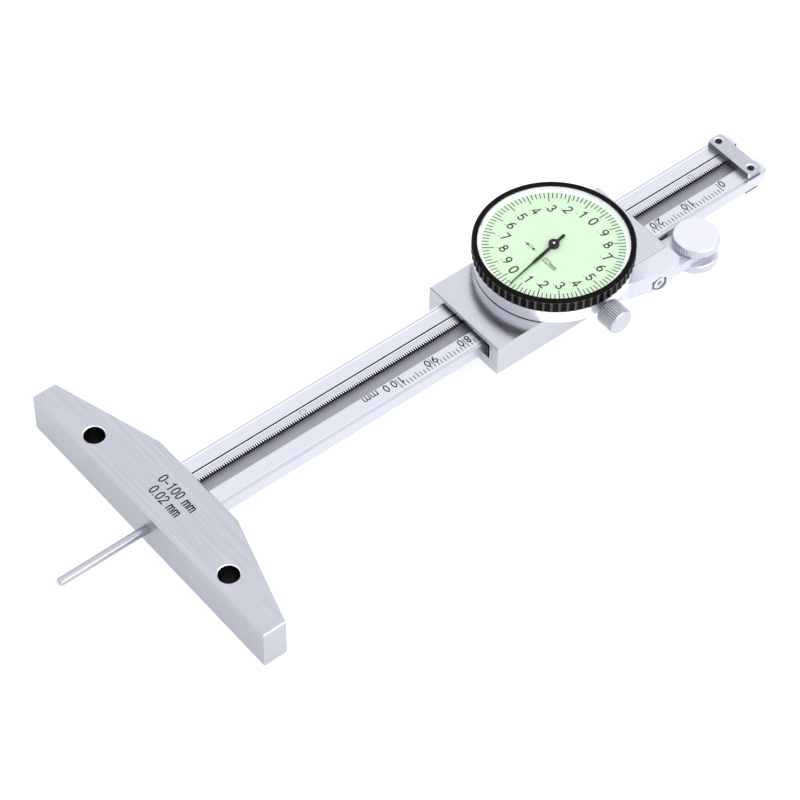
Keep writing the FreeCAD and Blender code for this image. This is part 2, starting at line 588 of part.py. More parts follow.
def build_housing():
    """The round dial housing on the slider, and its four screws."""
    cup = cylinder("housing_blank", "Z", "0", "dial_y", "slider_top + housing_neck_high",
                   "housing_radius", "housing_high - housing_neck_high")
    foot = cylinder("housing_foot", "Z", "0", "dial_y", "slider_top", "housing_radius - housing_neck",
                    "housing_neck_high")
    tools = [cylinder("housing_room", "Z", "0", "dial_y", "floor_top", "housing_inner", "housing_high"),
             cylinder("housing_groove", "Z", "0", "dial_y", "ring_bottom - ring_play",
                      "housing_inner + ring_groove - ring_play", "ring_thick + 2 * ring_play"),
             cylinder("housing_centre_bore", "Z", "0", "dial_y", "slider_top",
                      "centre_arbor_radius + pivot_gap", "housing_floor"),
             cylinder("housing_pinion_bore", "Z", "pinion_x", "pinion_y", "slider_top",
                      "arbor_radius + pivot_gap", "housing_floor"),
             cylinder("housing_backlash_bore", "Z", "backlash_x", "backlash_y", "slider_top",
                      "centre_arbor_radius + pivot_gap", "housing_floor"),
             cylinder("housing_clamp_bore", "X", "0", "clamp_y", "clamp_z",
                      "clamp_shank_dia / 2 + screw_running_gap", "clamp_from_centre")]
    screws = []
    for x_name in ("screw_far_x", "screw_near_x"):
        for side, name in ((-1, "low"), (1, "high")):
            tag = "%s_%s" % (x_name, name)
            y = "dial_y + %d * housing_screw_half" % side
            tools.append(cylinder("housing_hole_" + tag, "Z", x_name, y, "slider_top",
                                  "housing_screw_dia / 2", "housing_floor"))
            shank = cylinder("housing_shank_" + tag, "Z", x_name, y, "slider_top - housing_screw_deep",
                             "housing_screw_dia / 2", "housing_screw_deep + housing_floor")
            head = cylinder("housing_head_" + tag, "Z", x_name, y, "floor_top",
                            "housing_screw_head / 2", "housing_head_high")
            slot = solid_box("housing_slot_" + tag, x_name + " - housing_screw_head / 2",
                             y + " - slot_width / 2", "floor_top + housing_head_high / 2",
                             "housing_screw_head", "slot_width", "housing_head_high")
            blank = fuse("housing_screw_blank_" + tag, [shank, head])
            screws.append(cut("housing_screw_" + tag, blank, [slot]))
    node("dial_housing", cut("housing_cut", fuse("housing_solid", [cup, foot]), tools))
    group = doc.addObject("Part::Compound", "housing_screw_group")
    group.Links = screws
    node("housing_screws", group)


def build_bezel():
    """The fluted bezel, turned in one piece with the skirt that drops into the housing."""
    body = new_body("bezel")
    section = sketch(body, "bezel_section", "XZ_Plane", "0")
    groove_low, groove_high = "ring_bottom - ring_play", "ring_bottom + ring_thick + ring_play"
    outline(section, [("skirt_inner_radius", "skirt_bottom"), ("skirt_outer", "skirt_bottom"),
                      ("skirt_outer", groove_low), ("skirt_outer - ring_groove", groove_low),
                      ("skirt_outer - ring_groove", groove_high), ("skirt_outer", groove_high),
                      ("skirt_outer", "bezel_bottom"), ("bezel_radius - bezel_break", "bezel_bottom"),
                      ("bezel_radius", "bezel_bottom + bezel_break"),
                      ("bezel_radius", "bezel_top - bezel_break"),
                      ("bezel_radius - bezel_break", "bezel_top"), ("bezel_rim_radius", "bezel_top"),
                      ("bezel_rim_radius", "dial_bottom"), ("skirt_inner_radius", "dial_bottom")])
    ring = body.newObject("PartDesign::Revolution", "bezel_turned")
    ring.Profile = section
    ring.ReferenceAxis = (origin_item(body, "Z_Axis"), [""])
    ring.Angle = 360
    reach = "bezel_radius + flute_radius - flute_depth"
    flute = carve_cylinder(body, "bezel_flute", "Z", reach, "0", "bezel_bottom - bezel_break", "flute_radius",
                           "bezel_high + bezel_break - flute_margin - flute_radius / 2")
    crown = body.newObject("PartDesign::SubtractiveSphere", "bezel_flute_end")
    bind(crown, Radius="flute_radius")
    put(crown, reach, "0", "bezel_top - flute_margin - flute_radius / 2")
    pattern = body.newObject("PartDesign::PolarPattern", "bezel_flutes")
    pattern.Originals = [flute, crown]
    pattern.Axis = (origin_item(body, "Z_Axis"), [""])
    pattern.Angle = 360
    bind(pattern, Occurrences="flute_count")
    body.Tip = pattern
    body.setExpression("Placement.Base.y", bound("dial_y"))
    node("bezel_ring", body)


def build_dial():
    """What the bezel carries: the dial, the pale ring on it and the crystal."""
    disc = cylinder("dial_disc", "Z", "0", "dial_y", "dial_bottom", "dial_radius", "dial_thick")
    hole = cylinder("dial_hole", "Z", "0", "dial_y", "dial_bottom", "dial_hole_dia / 2", "dial_thick")
    node("dial_face", cut("dial_cut", disc, [hole]))
    ring = cylinder("spacer_disc", "Z", "0", "dial_y", "dial_top", "dial_radius", "crystal_bottom - dial_top")
    room = cylinder("spacer_room", "Z", "0", "dial_y", "dial_top", "dial_radius - spacer_wall",
                    "crystal_bottom - dial_top")
    node("dial_spacer", cut("spacer_cut", ring, [room]))
    node("crystal", cylinder("crystal_disc", "Z", "0", "dial_y", "crystal_bottom", "dial_radius",
                             "crystal_thick"))


def build_snap_ring():
    """The open ring that holds the bezel down, split where the clamp shoe stands."""
    inner = number("skirt_outer") - number("ring_groove") + number("ring_play")
    outer = number("housing_inner") + number("ring_groove") - 2 * number("ring_play")
    opening = number("ring_opening")
    full = Part.makeCylinder(outer, number("ring_thick"), V(), V(0, 0, 1), 360 - opening)
    ring = full.cut(Part.makeCylinder(inner, number("ring_thick")))
    ring.rotate(V(), V(0, 0, 1), opening / 2)
    ring.translate(V(0, number("dial_y"), number("ring_bottom")))
    made("bezel_snap_ring", ring)


def build_movement():
    """The gear train between the rack and the hand, with its bridge."""
    floor, top = number("floor_top"), number("bridge_top")
    dial_y, module = number("dial_y"), number("fine_module")
    pinion_x, pinion_y = number("pinion_x"), number("pinion_y")
    rack_low = number("channel_floor") + number("pinion_above_floor")
    arbor, slim, pivot = number("arbor_radius"), number("centre_arbor_radius"), number("pivot_radius")
    wheel_low = floor + number("wheel_lift")
    wheel_high = wheel_low + number("wheel_thick")
    pinion = gear(number("pinion_teeth"), number("rack_module"), number("pinion_high"), 180,
                  pinion_x, pinion_y, rack_low)
    shaft = [post(arbor, pinion_x, pinion_y, rack_low, wheel_high),
             post(pivot, pinion_x, pinion_y, wheel_high, top)]
    made("rack_pinion", pinion.fuse(shaft).removeSplitter())
    to_wheel = math.degrees(math.atan2(pinion_y - dial_y, pinion_x))
    wheel = gear(number("wheel_teeth"), module, number("wheel_thick"), to_wheel + 180,
                 pinion_x, pinion_y, wheel_low)
    made("drive_wheel", wheel.cut(post(arbor, pinion_x, pinion_y, wheel_low, wheel_high)))
    centre_low = floor + number("centre_pinion_lift")
    half_tooth = 180.0 / number("centre_teeth")
    teeth = gear(number("centre_teeth"), module, number("centre_pinion_high"), to_wheel + half_tooth,
                 0, dial_y, centre_low)
    hub_low = number("dial_top") + number("hub_gap")
    made("centre_arbor", teeth.fuse(post(slim, 0, dial_y, number("slider_top"), hub_low)).removeSplitter())
    build_backlash_gear(half_tooth, to_wheel)
    build_bridge()


def build_backlash_gear(half_tooth, to_wheel):
    """The gear that the hairspring turns to take up the play, and the hairspring."""
    x, y = number("backlash_x"), number("backlash_y")
    low = number("floor_top") + number("backlash_lift")
    slim, pivot = number("centre_arbor_radius"), number("pivot_radius")
    angle = number("backlash_angle")
    step = 2 * half_tooth
    tooth_offset = (angle - to_wheel - half_tooth) % step
    share = tooth_offset / step
    phase = angle + 180 - (0.5 - share) * 360.0 / number("backlash_teeth")
    wheel = gear(number("backlash_teeth"), number("fine_module"), number("backlash_thick"), phase, x, y, low)
    top = low + number("backlash_thick")
    staff = post(slim, x, y, number("slider_top"), top)
    made("backlash_gear", wheel.fuse([staff, post(pivot, x, y, top, number("bridge_top"))]).removeSplitter())
    wire, pitch, turns = number("spring_wire"), number("spring_pitch"), number("spring_turns")
    steps = int(turns * 24)
    inner, outer = [], []
    for k in range(steps + 1):
        turn = 2 * math.pi * turns * k / steps
        radius = pivot + 3 * wire + pitch * turns * k / steps
        inner.append(V(radius * math.cos(turn), radius * math.sin(turn), 0))
        outer.append(V((radius + wire) * math.cos(turn), (radius + wire) * math.sin(turn), 0))
    loop = Part.makePolygon(inner + outer[::-1] + [inner[0]])
    coil = Part.Face(loop).extrude(V(0, 0, number("spring_high")))
    coil.translate(V(x, y, top + number("spring_gap")))
    end = outer[-1] + V(x, y, 0)
    stud = Part.makeCylinder(2 * wire, number("bridge_bottom") - top - number("spring_gap"),
                             V(end.x, end.y, top + number("spring_gap")))
    made("hairspring", coil.fuse(stud).removeSplitter())


def build_bridge():
    """The bridge plate over the gears, on three pillars with a screw each."""
    ring, dial_y = number("pillar_ring"), number("dial_y")
    spots = [(ring * math.cos(angle), dial_y + ring * math.sin(angle))
             for angle in map(math.radians, PILLAR_ANGLES)]
    floor, low, top = number("floor_top"), number("bridge_bottom"), number("bridge_top")
    screw, deep = number("bridge_screw_radius"), number("bridge_screw_deep")
    plate = post(number("bridge_radius"), 0, dial_y, low, top)
    bores = [(0, dial_y, number("centre_arbor_radius")), (number("pinion_x"), number("pinion_y"),
             number("pivot_radius")), (number("backlash_x"), number("backlash_y"), number("pivot_radius"))]
    for x, y, radius in bores:
        plate = plate.cut(post(radius + number("pivot_gap"), x, y, low, top))
    pillars, screws = [], []
    for x, y in spots:
        thread = post(screw, x, y, low - deep, top)
        plate = plate.cut(thread)
        pillars.append(post(number("pillar_radius"), x, y, floor, low).cut(thread))
        head = post(number("bridge_head_radius"), x, y, top, top + number("bridge_head_high"))
        corner = V(x - number("bridge_head_radius"), y - number("slot_width") / 2,
                   top + number("bridge_head_high") / 2)
        slot = Part.makeBox(2 * number("bridge_head_radius"), number("slot_width"),
                            number("bridge_head_high"), corner)
        screws.append(thread.fuse(head).removeSplitter().cut(slot))
    made("movement_bridge", plate)
    made("bridge_pillars", Part.makeCompound(pillars))
    made("bridge_screws", Part.makeCompound(screws))


def build_hand():
    """The hand: a stepped pointer with a short tail on a round hub."""
    reach, tail, step = number("hand_length"), number("hand_tail"), number("hand_step")
    wide, narrow, thick = number("hand_wide") / 2, number("hand_narrow") / 2, number("hand_thick")
    half = [(-tail, wide * 0.9), (step, wide), (step + 1, narrow), (reach, narrow * 0.5)]
    ring = [V(side, -along, 0) for along, side in half] + [V(-side, -along, 0) for along, side in half[::-1]]
    blade = Part.Face(Part.makePolygon(ring + [ring[0]])).extrude(V(0, 0, thick))
    blade.translate(V(0, 0, number("dial_top") + number("hand_above_dial")))
    low = number("dial_top") + number("hub_gap")
    hub = post(number("hub_radius"), 0, 0, low, low + number("hub_high"))
    hand = blade.fuse(hub).removeSplitter()
    hand.rotate(V(), V(0, 0, 1), 360 * (number("reading") / number("hand_turn_for") % 1))
    hand.translate(V(0, number("dial_y"), 0))
    made("hand", hand)


def build_clamp():
    """The knurled clamp screw and the shoe that it presses on the bezel's skirt."""
    start = number("clamp_from_centre")
    radius, shank = number("clamp_dia") / 2, number("clamp_shank_dia") / 2
    knob = knurled(number("clamp_teeth"), radius, number("knurl_depth"), number("clamp_long"),
                   number("clamp_break"))
    inner = number("skirt_outer") + number("shoe_play")
    outer = inner + number("shoe_thick")
    tip = outer + number("screw_running_gap")
    stem = Part.makeCylinder(shank, start - tip, V(0, 0, tip - start))
    screw = knob.fuse(stem).removeSplitter()
    screw.rotate(V(), V(0, 1, 0), 90)
    screw.translate(V(start, number("clamp_y"), number("clamp_z")))
    made("clamp_screw", screw)
    angle = number("shoe_angle")
    high = number("shoe_high")
    shoe = Part.makeCylinder(outer, high, V(), V(0, 0, 1), 2 * angle).cut(Part.makeCylinder(inner, high))
    shoe.rotate(V(), V(0, 0, 1), -angle)
    shoe.translate(V(0, number("dial_y"), number("slider_top") + number("shoe_low")))
    made("clamp_shoe", shoe)


def build_thumb_rest():
    """The thumb rest on the slider's near side, with the arm that carries the roller."""
    body = new_body("rest")
    plan = sketch(body, "rest_plan", "XY_Plane", "rest_bottom")
    outline(plan, [("rest_seat", "rest_front_y"), ("rest_seat + rest_front_out", "rest_front_y"),
                   ("rest_seat + rest_mid_out", "rest_mid_y"), ("rest_seat + rest_peak_out", "rest_peak_y"),
                   ("rest_seat + rest_end_out", "slider_edge - rest_seat_gap"),
                   ("rest_seat", "slider_edge - rest_seat_gap")])
    block = pad(body, plan, "rest_high")
    low, seat = number("rest_bottom"), number("rest_seat")
    dress(body, "Chamfer", "rest_underside", block,
          lambda b: near(b.ZMax, low) and b.XMax > seat + 0.5 and b.XLength < 4.6 and b.YLength > 1e-3,
          "rest_bottom_break")
    run = "(%d + 0.5) * rib_pitch / (rest_mid_y - rest_front_y)"
    flank = "rest_seat + rest_front_out + rib_radius / 2 + (rest_mid_out - rest_front_out) * "
    for k in range(int(round(number("rib_count")))):
        share = run % k
        carve_cylinder(body, "rest_rib_%d" % k, "Z", flank + share,
                       "rest_front_y + (rest_mid_y - rest_front_y) * " + share, "rest_bottom",
                       "rib_radius", "rest_high - rest_bottom_break")
    arm = sketch(body, "rest_arm", "XY_Plane", "arm_low")
    outline(arm, [("arm_inner", "slider_edge + rest_seat_gap"), ("rest_seat", "slider_edge + rest_seat_gap"),
                  ("rest_seat", "slider_edge - arm_flank"),
                  ("rest_seat + rest_end_out", "slider_edge - rest_seat_gap"),
                  ("roller_x + arm_boss_radius", "roller_y"),
                  ("roller_x - arm_boss_radius * 0.94", "roller_y + 1"),
                  ("arm_inner", "slider_edge + arm_flank")])
    pad(body, arm, "arm_thick")
    boss = body.newObject("PartDesign::AdditiveCylinder", "rest_boss")
    bind(boss, Radius="arm_boss_radius", Height="arm_thick")
    put(boss, "roller_x", "roller_y", "arm_low")
    carve_cylinder(body, "rest_roller_bore", "Z", "roller_x", "roller_y", "arm_low",
                   "roller_pin_radius + roller_pin_gap", "arm_thick")
    pocket = body.newObject("PartDesign::SubtractivePrism", "rest_hex")
    pocket.Polygon = 6
    bind(pocket, Circumradius="rest_hex_across / 2", Height="2 * rest_hex_deep")
    put(pocket, "rest_screw_x", "rest_screw_y", "rest_hex_height", "X")
    carve_cylinder(body, "rest_screw_hole", "X", "rest_seat", "rest_screw_y", "rest_hex_height",
                   "rest_screw_dia / 2", "rest_screw_x - rest_seat")
    node("thumb_rest", body)
    shank = cylinder("rest_shank", "X", "slider_near - rest_screw_deep", "rest_screw_y", "rest_hex_height",
                     "rest_screw_dia / 2", "rest_screw_x - slider_near + rest_screw_deep")
    head = cylinder("rest_head", "X", "rest_screw_x", "rest_screw_y", "rest_hex_height",
                    "rest_head_dia / 2", "rest_head_high")
    socket = doc.addObject("Part::Prism", "rest_socket_tool")
    socket.Polygon = 6
    bind(socket, Circumradius="rest_socket / 2", Height="rest_head_high")
    put(socket, "rest_screw_x + rest_head_high / 2", "rest_screw_y", "rest_hex_height", "X")
    node("thumb_rest_screw", cut("rest_screw_cut", fuse("rest_screw_blank", [shank, head]), [socket]))


def build_roller():
    """The thumb roller: two knurled discs on one pin, one above and one below the arm."""
    x, y, radius = number("roller_x"), number("roller_y"), number("roller_radius")
    gap, pin = number("roller_side_gap"), number("roller_pin_radius")
    teeth, edge, depth = number("roller_teeth"), number("roller_break"), number("knurl_depth")
    lower_high = number("roller_lower_high")
    low = number("arm_low") - gap - lower_high
    upper = knurled(teeth, radius, depth, number("roller_disc_high"), edge)
    upper.translate(V(x, y, number("arm_top") + gap))
    upper = upper.fuse(post(pin, x, y, low, number("arm_top") + gap)).removeSplitter()
    made("roller_upper", upper)
    lower = knurled(teeth, radius, depth, lower_high, edge)
    lower.translate(V(x, y, low))
    made("roller_lower", lower.cut(post(pin, x, y, low, low + lower_high)))


for build in (build_base, build_beam, build_rack, build_stops, build_slider, build_rod, build_gib,
              build_housing, build_bezel, build_dial, build_snap_ring, build_movement, build_hand,
              build_clamp, build_thumb_rest, build_roller):
    build()
doc.recompute()

for item in doc.Objects:
    failed = [state for state in item.State if state in ("Invalid", "Error")]
    if failed:
        raise RuntimeError("%s failed: %s" % (item.Label, failed))
for name, piece in nodes.items():
    if piece.Shape.isNull() or not piece.Shape.isValid():
        raise RuntimeError("%s has no valid shape" % name)
for name, piece in nodes.items():
    piece.Shape.exportStep("parts/%s.step" % name)
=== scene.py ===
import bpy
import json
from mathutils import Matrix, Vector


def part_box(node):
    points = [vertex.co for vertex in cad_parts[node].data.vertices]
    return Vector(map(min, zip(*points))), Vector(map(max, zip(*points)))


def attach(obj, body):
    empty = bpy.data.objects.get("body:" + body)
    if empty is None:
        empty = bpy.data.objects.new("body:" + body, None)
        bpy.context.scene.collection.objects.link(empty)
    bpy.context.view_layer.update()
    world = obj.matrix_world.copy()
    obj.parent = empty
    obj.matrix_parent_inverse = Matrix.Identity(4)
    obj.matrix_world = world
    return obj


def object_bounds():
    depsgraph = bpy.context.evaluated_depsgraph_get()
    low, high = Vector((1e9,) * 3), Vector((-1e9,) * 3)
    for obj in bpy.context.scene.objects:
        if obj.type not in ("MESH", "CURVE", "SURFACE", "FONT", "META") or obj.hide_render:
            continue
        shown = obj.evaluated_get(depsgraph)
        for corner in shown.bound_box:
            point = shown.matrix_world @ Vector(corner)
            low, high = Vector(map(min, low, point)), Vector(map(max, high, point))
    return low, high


bl_info = {
    "name": "Dial depth gauge",
    "version": (1, 0, 0),
    "blender": (4, 5, 0),
    "location": "3D View > Sidebar > Depth gauge",
    "description": "Finishes, graduations and dial print of a dial depth gauge",
    "category": "Object",
}

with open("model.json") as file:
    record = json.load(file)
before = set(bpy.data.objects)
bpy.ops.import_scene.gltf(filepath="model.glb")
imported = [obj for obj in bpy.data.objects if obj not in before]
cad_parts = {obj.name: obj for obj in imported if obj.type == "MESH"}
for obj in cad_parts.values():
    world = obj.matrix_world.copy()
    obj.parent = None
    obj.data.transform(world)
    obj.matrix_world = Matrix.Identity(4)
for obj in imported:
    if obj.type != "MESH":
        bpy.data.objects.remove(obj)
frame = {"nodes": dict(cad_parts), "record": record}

import json
import math

import bmesh
import bpy
from mathutils import Matrix, Vector

MM = 0.001
CAD_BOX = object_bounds()
SCALE_PLANE = 4.8 * MM      # top of the beam's lands
BASE_TOP = 6.1 * MM
READING = 24.06 * MM        # what the gauge reads at rest
CRISP_ANGLE = 25.0          # degrees, above which two faces meet at a crisp edge


def middle(node):
    """Centre of a node's box."""
    low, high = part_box(node)
    return (low + high) / 2


# Properties

class GaugeScaleSizes(bpy.types.PropertyGroup):
    """Sizes of the beam's graduations."""
    line_width: bpy.props.FloatProperty(
        name="Line width", description="Width of a graduation line", default=0.19 * MM, unit="LENGTH")
    line_edge: bpy.props.FloatProperty(
        name="Line end", description="Distance of the lines' outer ends from the beam's middle",
        default=6.55 * MM, unit="LENGTH")
    short_line: bpy.props.FloatProperty(
        name="1 mm line", description="Length of a 1 mm line", default=1.35 * MM, unit="LENGTH")
    middle_line: bpy.props.FloatProperty(
        name="5 mm line", description="Length of a 5 mm line", default=1.75 * MM, unit="LENGTH")
    long_line: bpy.props.FloatProperty(
        name="10 mm line", description="Length of a 10 mm line", default=3.0 * MM, unit="LENGTH")
    figure_high: bpy.props.FloatProperty(
        name="Figure height", description="Height of the figures", default=2.0 * MM, unit="LENGTH")
    figure_apart: bpy.props.FloatProperty(
        name="Figures apart", description="Distance of a figure's middle from its long line",
        default=1.05 * MM, unit="LENGTH")
    figure_low: bpy.props.FloatProperty(
        name="Figure line", description="Distance of the figures' feet from the beam's middle",
        default=3.5 * MM, unit="LENGTH")


class GaugeDialSizes(bpy.types.PropertyGroup):
    """Sizes of the dial's print."""
    line_radius: bpy.props.FloatProperty(
        name="Line radius", description="Radius of the lines' outer ends", default=17.1 * MM, unit="LENGTH")
    line_width: bpy.props.FloatProperty(
        name="Line width", description="Width of a dial line", default=0.22 * MM, unit="LENGTH")
    short_line: bpy.props.FloatProperty(
        name="Short line", description="Length of the short lines", default=1.75 * MM, unit="LENGTH")
    long_line: bpy.props.FloatProperty(
        name="Long line", description="Length of every fifth line", default=2.9 * MM, unit="LENGTH")
    figure_radius: bpy.props.FloatProperty(
        name="Figure radius", description="Radius of the figures' middles", default=12.35 * MM, unit="LENGTH")
    figure_high: bpy.props.FloatProperty(
        name="Figure height", description="Height of the dial's figures", default=2.4 * MM, unit="LENGTH")


def colour_property(label, words, value):
    return bpy.props.FloatVectorProperty(
        name=label, description=words, subtype="COLOR", size=3, min=0.0, max=1.0, default=value)


class GaugeColours(bpy.types.PropertyGroup):
    """Colours of the gauge's finishes."""
    base: colour_property("Base steel", "Base and stop plates", (0.49, 0.495, 0.54))
    beam: colour_property("Beam steel", "Beam", (0.64, 0.645, 0.70))
    rack: colour_property("Rack steel", "Rack and its pins", (0.56, 0.565, 0.61))
    # Painted shade on the rack's flanks, behind the rack and in the base's holes, and oil round the rack's
    # pins.
    oil: colour_property("Oil", "Oil on the rack's flanks, behind it and in the base's holes",
                         (0.008, 0.008, 0.010))
    rod: colour_property("Rod steel", "Depth rod and dowels", (0.42, 0.425, 0.46))
    slider: colour_property("Slider steel", "Slider body", (0.56, 0.565, 0.61))
    bright: colour_property("Bright metal", "Dial housing", (0.90, 0.905, 0.96))
    roller: colour_property("Roller", "Faces of the thumb roller", (0.72, 0.72, 0.77))
    clamp: colour_property("Clamp screw", "Faces of the clamp screw", (0.56, 0.565, 0.61))
    knurl: colour_property("Knurl", "Knurled rims", (0.70, 0.705, 0.76))
    casting: colour_property("Casting", "Thumb rest", (0.67, 0.675, 0.73))
    # The gib strip takes this dark colour as painted shade.
    screws: colour_property("Screws", "Dark screws and the end of the gib strip", (0.05, 0.05, 0.06))
    bezel: colour_property("Bezel", "Black bezel", (0.003, 0.003, 0.0026))
    bezel_worn: colour_property("Worn bezel", "Worn grain of the bezel", (0.015, 0.015, 0.013))
    # Painted sheen along the ridges between the flutes.
    bezel_ridge: colour_property("Bezel ridges", "Worn ridges between the flutes", (0.075, 0.075, 0.068))
    dial: colour_property("Dial", "Green middle of the dial", (0.63, 0.82, 0.585))
    dial_edge: colour_property("Dial edge", "Pale band round the lines", (0.95, 0.98, 0.96))
    print: colour_property("Print", "Lines and figures of the beam and the base", (0.02, 0.018, 0.02))
    dial_print: colour_property("Dial print", "Lines and figures of the dial", (0.030, 0.018, 0.015))
    hand: colour_property("Hand", "Hand and hub", (0.012, 0.005, 0.004))


# Node helpers

class Graph:
    """A short way to write the nodes of a material or of the world."""

    def __init__(self, owner, shader="Principled BSDF"):
        owner.use_nodes = True
        self.owner = owner
        self.tree = owner.node_tree
        self.shader = self.tree.nodes[shader]
        self.coordinates = self.tree.nodes.new("ShaderNodeTexCoord")

    def node(self, kind, **sockets):
        made = self.tree.nodes.new("ShaderNode" + kind)
        for name, value in sockets.items():
            self.feed(made.inputs[name.replace("_", " ")], value)
        return made

    def feed(self, socket, value):
        if isinstance(value, bpy.types.NodeSocket):
            self.tree.links.new(value, socket)
        else:
            socket.default_value = value

    def math(self, operation, first, second=0.0):
        made = self.tree.nodes.new("ShaderNodeMath")
        made.operation = operation
        self.feed(made.inputs[0], first)
        self.feed(made.inputs[1], second)
        return made.outputs[0]

    def vector(self, operation, first, second=(0.0, 0.0, 0.0)):
        made = self.tree.nodes.new("ShaderNodeVectorMath")
        made.operation = operation
        self.feed(made.inputs[0], first)
        self.feed(made.inputs[1], second)
        return made.outputs["Value" if operation in ("LENGTH", "DOT_PRODUCT") else "Vector"]

    def spread(self, value, low, high, start=0.0, end=1.0, smooth=False):
        """Maps a value from start..end to low..high."""
        made = self.node("MapRange", Value=value)
        made.interpolation_type = "SMOOTHSTEP" if smooth else "LINEAR"
        for name, number in (("From Min", start), ("From Max", end), ("To Min", low), ("To Max", high)):
            made.inputs[name].default_value = number
        return made.outputs["Result"]

    def mix(self, factor, first, second):
        """Mixes two colours."""
        made = self.tree.nodes.new("ShaderNodeMix")
        made.data_type = "RGBA"
        for socket, value in ((made.inputs[0], factor), (made.inputs[6], first), (made.inputs[7], second)):
            self.feed(socket, value)
        return made.outputs[2]

    def choose(self, factor, first, second):
        """Mixes two numbers."""
        made = self.tree.nodes.new("ShaderNodeMix")
        for socket, value in ((made.inputs[0], factor), (made.inputs[2], first), (made.inputs[3], second)):
            self.feed(socket, value)
        return made.outputs[0]

    def noise(self, stretch, detail=4.0, rough=0.6):
        """Noise with its own number of grains to a millimetre along X, Y and Z."""
        place = self.vector("MULTIPLY", self.coordinates.outputs["Object"], tuple(s / MM for s in stretch))
        return self.node("TexNoise", Vector=place, Scale=1.0, Detail=detail, Roughness=rough).outputs[0]

    def streaks(self, along):
        """Brush marks along an axis."""
        stretch = tuple(0.05 if axis == along else 3.2 for axis in "XYZ")
        return self.noise(stretch, detail=5.0, rough=0.7)

    def place(self):
        """The X, Y and Z of the surface, in metres."""
        return self.node("SeparateXYZ", Vector=self.coordinates.outputs["Object"]).outputs

    def rings(self, radius):
        """Fine rings of a turned face, from the distance to its axis."""
        return self.node("TexNoise", Vector=self.node("CombineXYZ", X=radius).outputs[0],
                         Scale=4.0, Detail=4.0, Roughness=0.7).outputs[0]

    def distance(self, centre, shares):
        """Distance from the centre, with a share of its own for each axis."""
        away = self.vector("SUBTRACT", self.coordinates.outputs["Object"], tuple(centre))
        return self.vector("LENGTH", self.vector("MULTIPLY", away, shares))

    def facing(self, axis):
        """How far the surface faces along an axis, whichever way."""
        line = tuple(1.0 if a == axis else 0.0 for a in "XYZ")
        return self.math("ABSOLUTE", self.vector("DOT_PRODUCT", self.coordinates.outputs["Normal"], line))

    def on_edge_breaks(self):
        """1 on the chamfers of a squared piece, where no main direction is faced."""
        most = self.math("MAXIMUM", self.facing("X"), self.facing("Y"))
        most = self.math("MAXIMUM", most, self.facing("Z"))
        return self.math("LESS_THAN", most, 0.9)

    def tint(self, colour, value, spread):
        """The colour, made darker and lighter by the value."""
        return self.mix(value, share_of(colour, 1 - spread), share_of(colour, 1 + spread))

    def surface(self, colour, rough, metallic=0.0, bump=None, depth=0.02 * MM, **more):
        """Feeds the shader and gives the finished material."""
        for name, value in (("Base Color", colour), ("Roughness", rough), ("Metallic", metallic)):
            self.feed(self.shader.inputs[name], value)
        for name, value in more.items():
            self.feed(self.shader.inputs[name.replace("_", " ")], value)
        if bump is not None:
            bumped = self.node("Bump", Height=bump, Strength=1.0, Distance=depth)
            self.feed(self.shader.inputs["Normal"], bumped.outputs["Normal"])
        return self.owner


def new_material(name):
    return Graph(bpy.data.materials.new(name))


def share_of(colour, share=1.0):
    """A share of the colour, at most white, as the four numbers that a socket takes."""
    return tuple(min(1.0, c * share) for c in colour) + (1.0,)


# Finishes

WHITE = (1.0, 1.0, 1.0, 1.0)
HIGHLIGHT_AND_RING_LINE = 0.13 * MM       # half width of a painted highlight line along an edge, and width of the oil round a pin
TOUCH = 0.02 * MM           # slack for telling which face a point is on
CHAMFER_WIDE = 0.3 * MM     # reach of the painted highlight on a bolt hole's chamfer, past the bore
BORE_SLACK = 0.03 * MM      # slack for telling the bore's wall, which gets painted shade
STEP_LINE = 0.05 * MM       # half width of the painted highlight line on the beam's step
STEP_WALL = 0.1 * MM        # how far the painted highlight on the step's wall reaches below the limit of the lands
TIPS_FROM, TIPS_FULL = 0.56 * MM, 0.48 * MM     # painted highlight on the tops of the rack's teeth, from the tips
BACK_FULL, BACK_TO = 0.30 * MM, 0.34 * MM       # painted highlight band along the rack's back, from the back
BACK_SHADE = 0.17 * MM        # strip of painted shade along the rack's back
FLANK_FROM, FLANK_FULL = 0.35 * MM, 0.50 * MM   # painted shade on the rack's flanks, from its foot
FLOOR_SLACK = 0.2 * MM      # the channel's floor ends this far above the rack's foot
LAND_SLACK = 0.1 * MM       # the beam's lands end this far below the plane of the scale
STEP_INSET = 1.0 * MM       # the step, from the beam's near edge
HIGHLIGHT_INSETS = (1.05 * MM, 0.1 * MM)     # the painted highlight lines, from the beam's far edge
GAP_WIDE = 0.22 * MM        # painted shade in the gap behind the rack
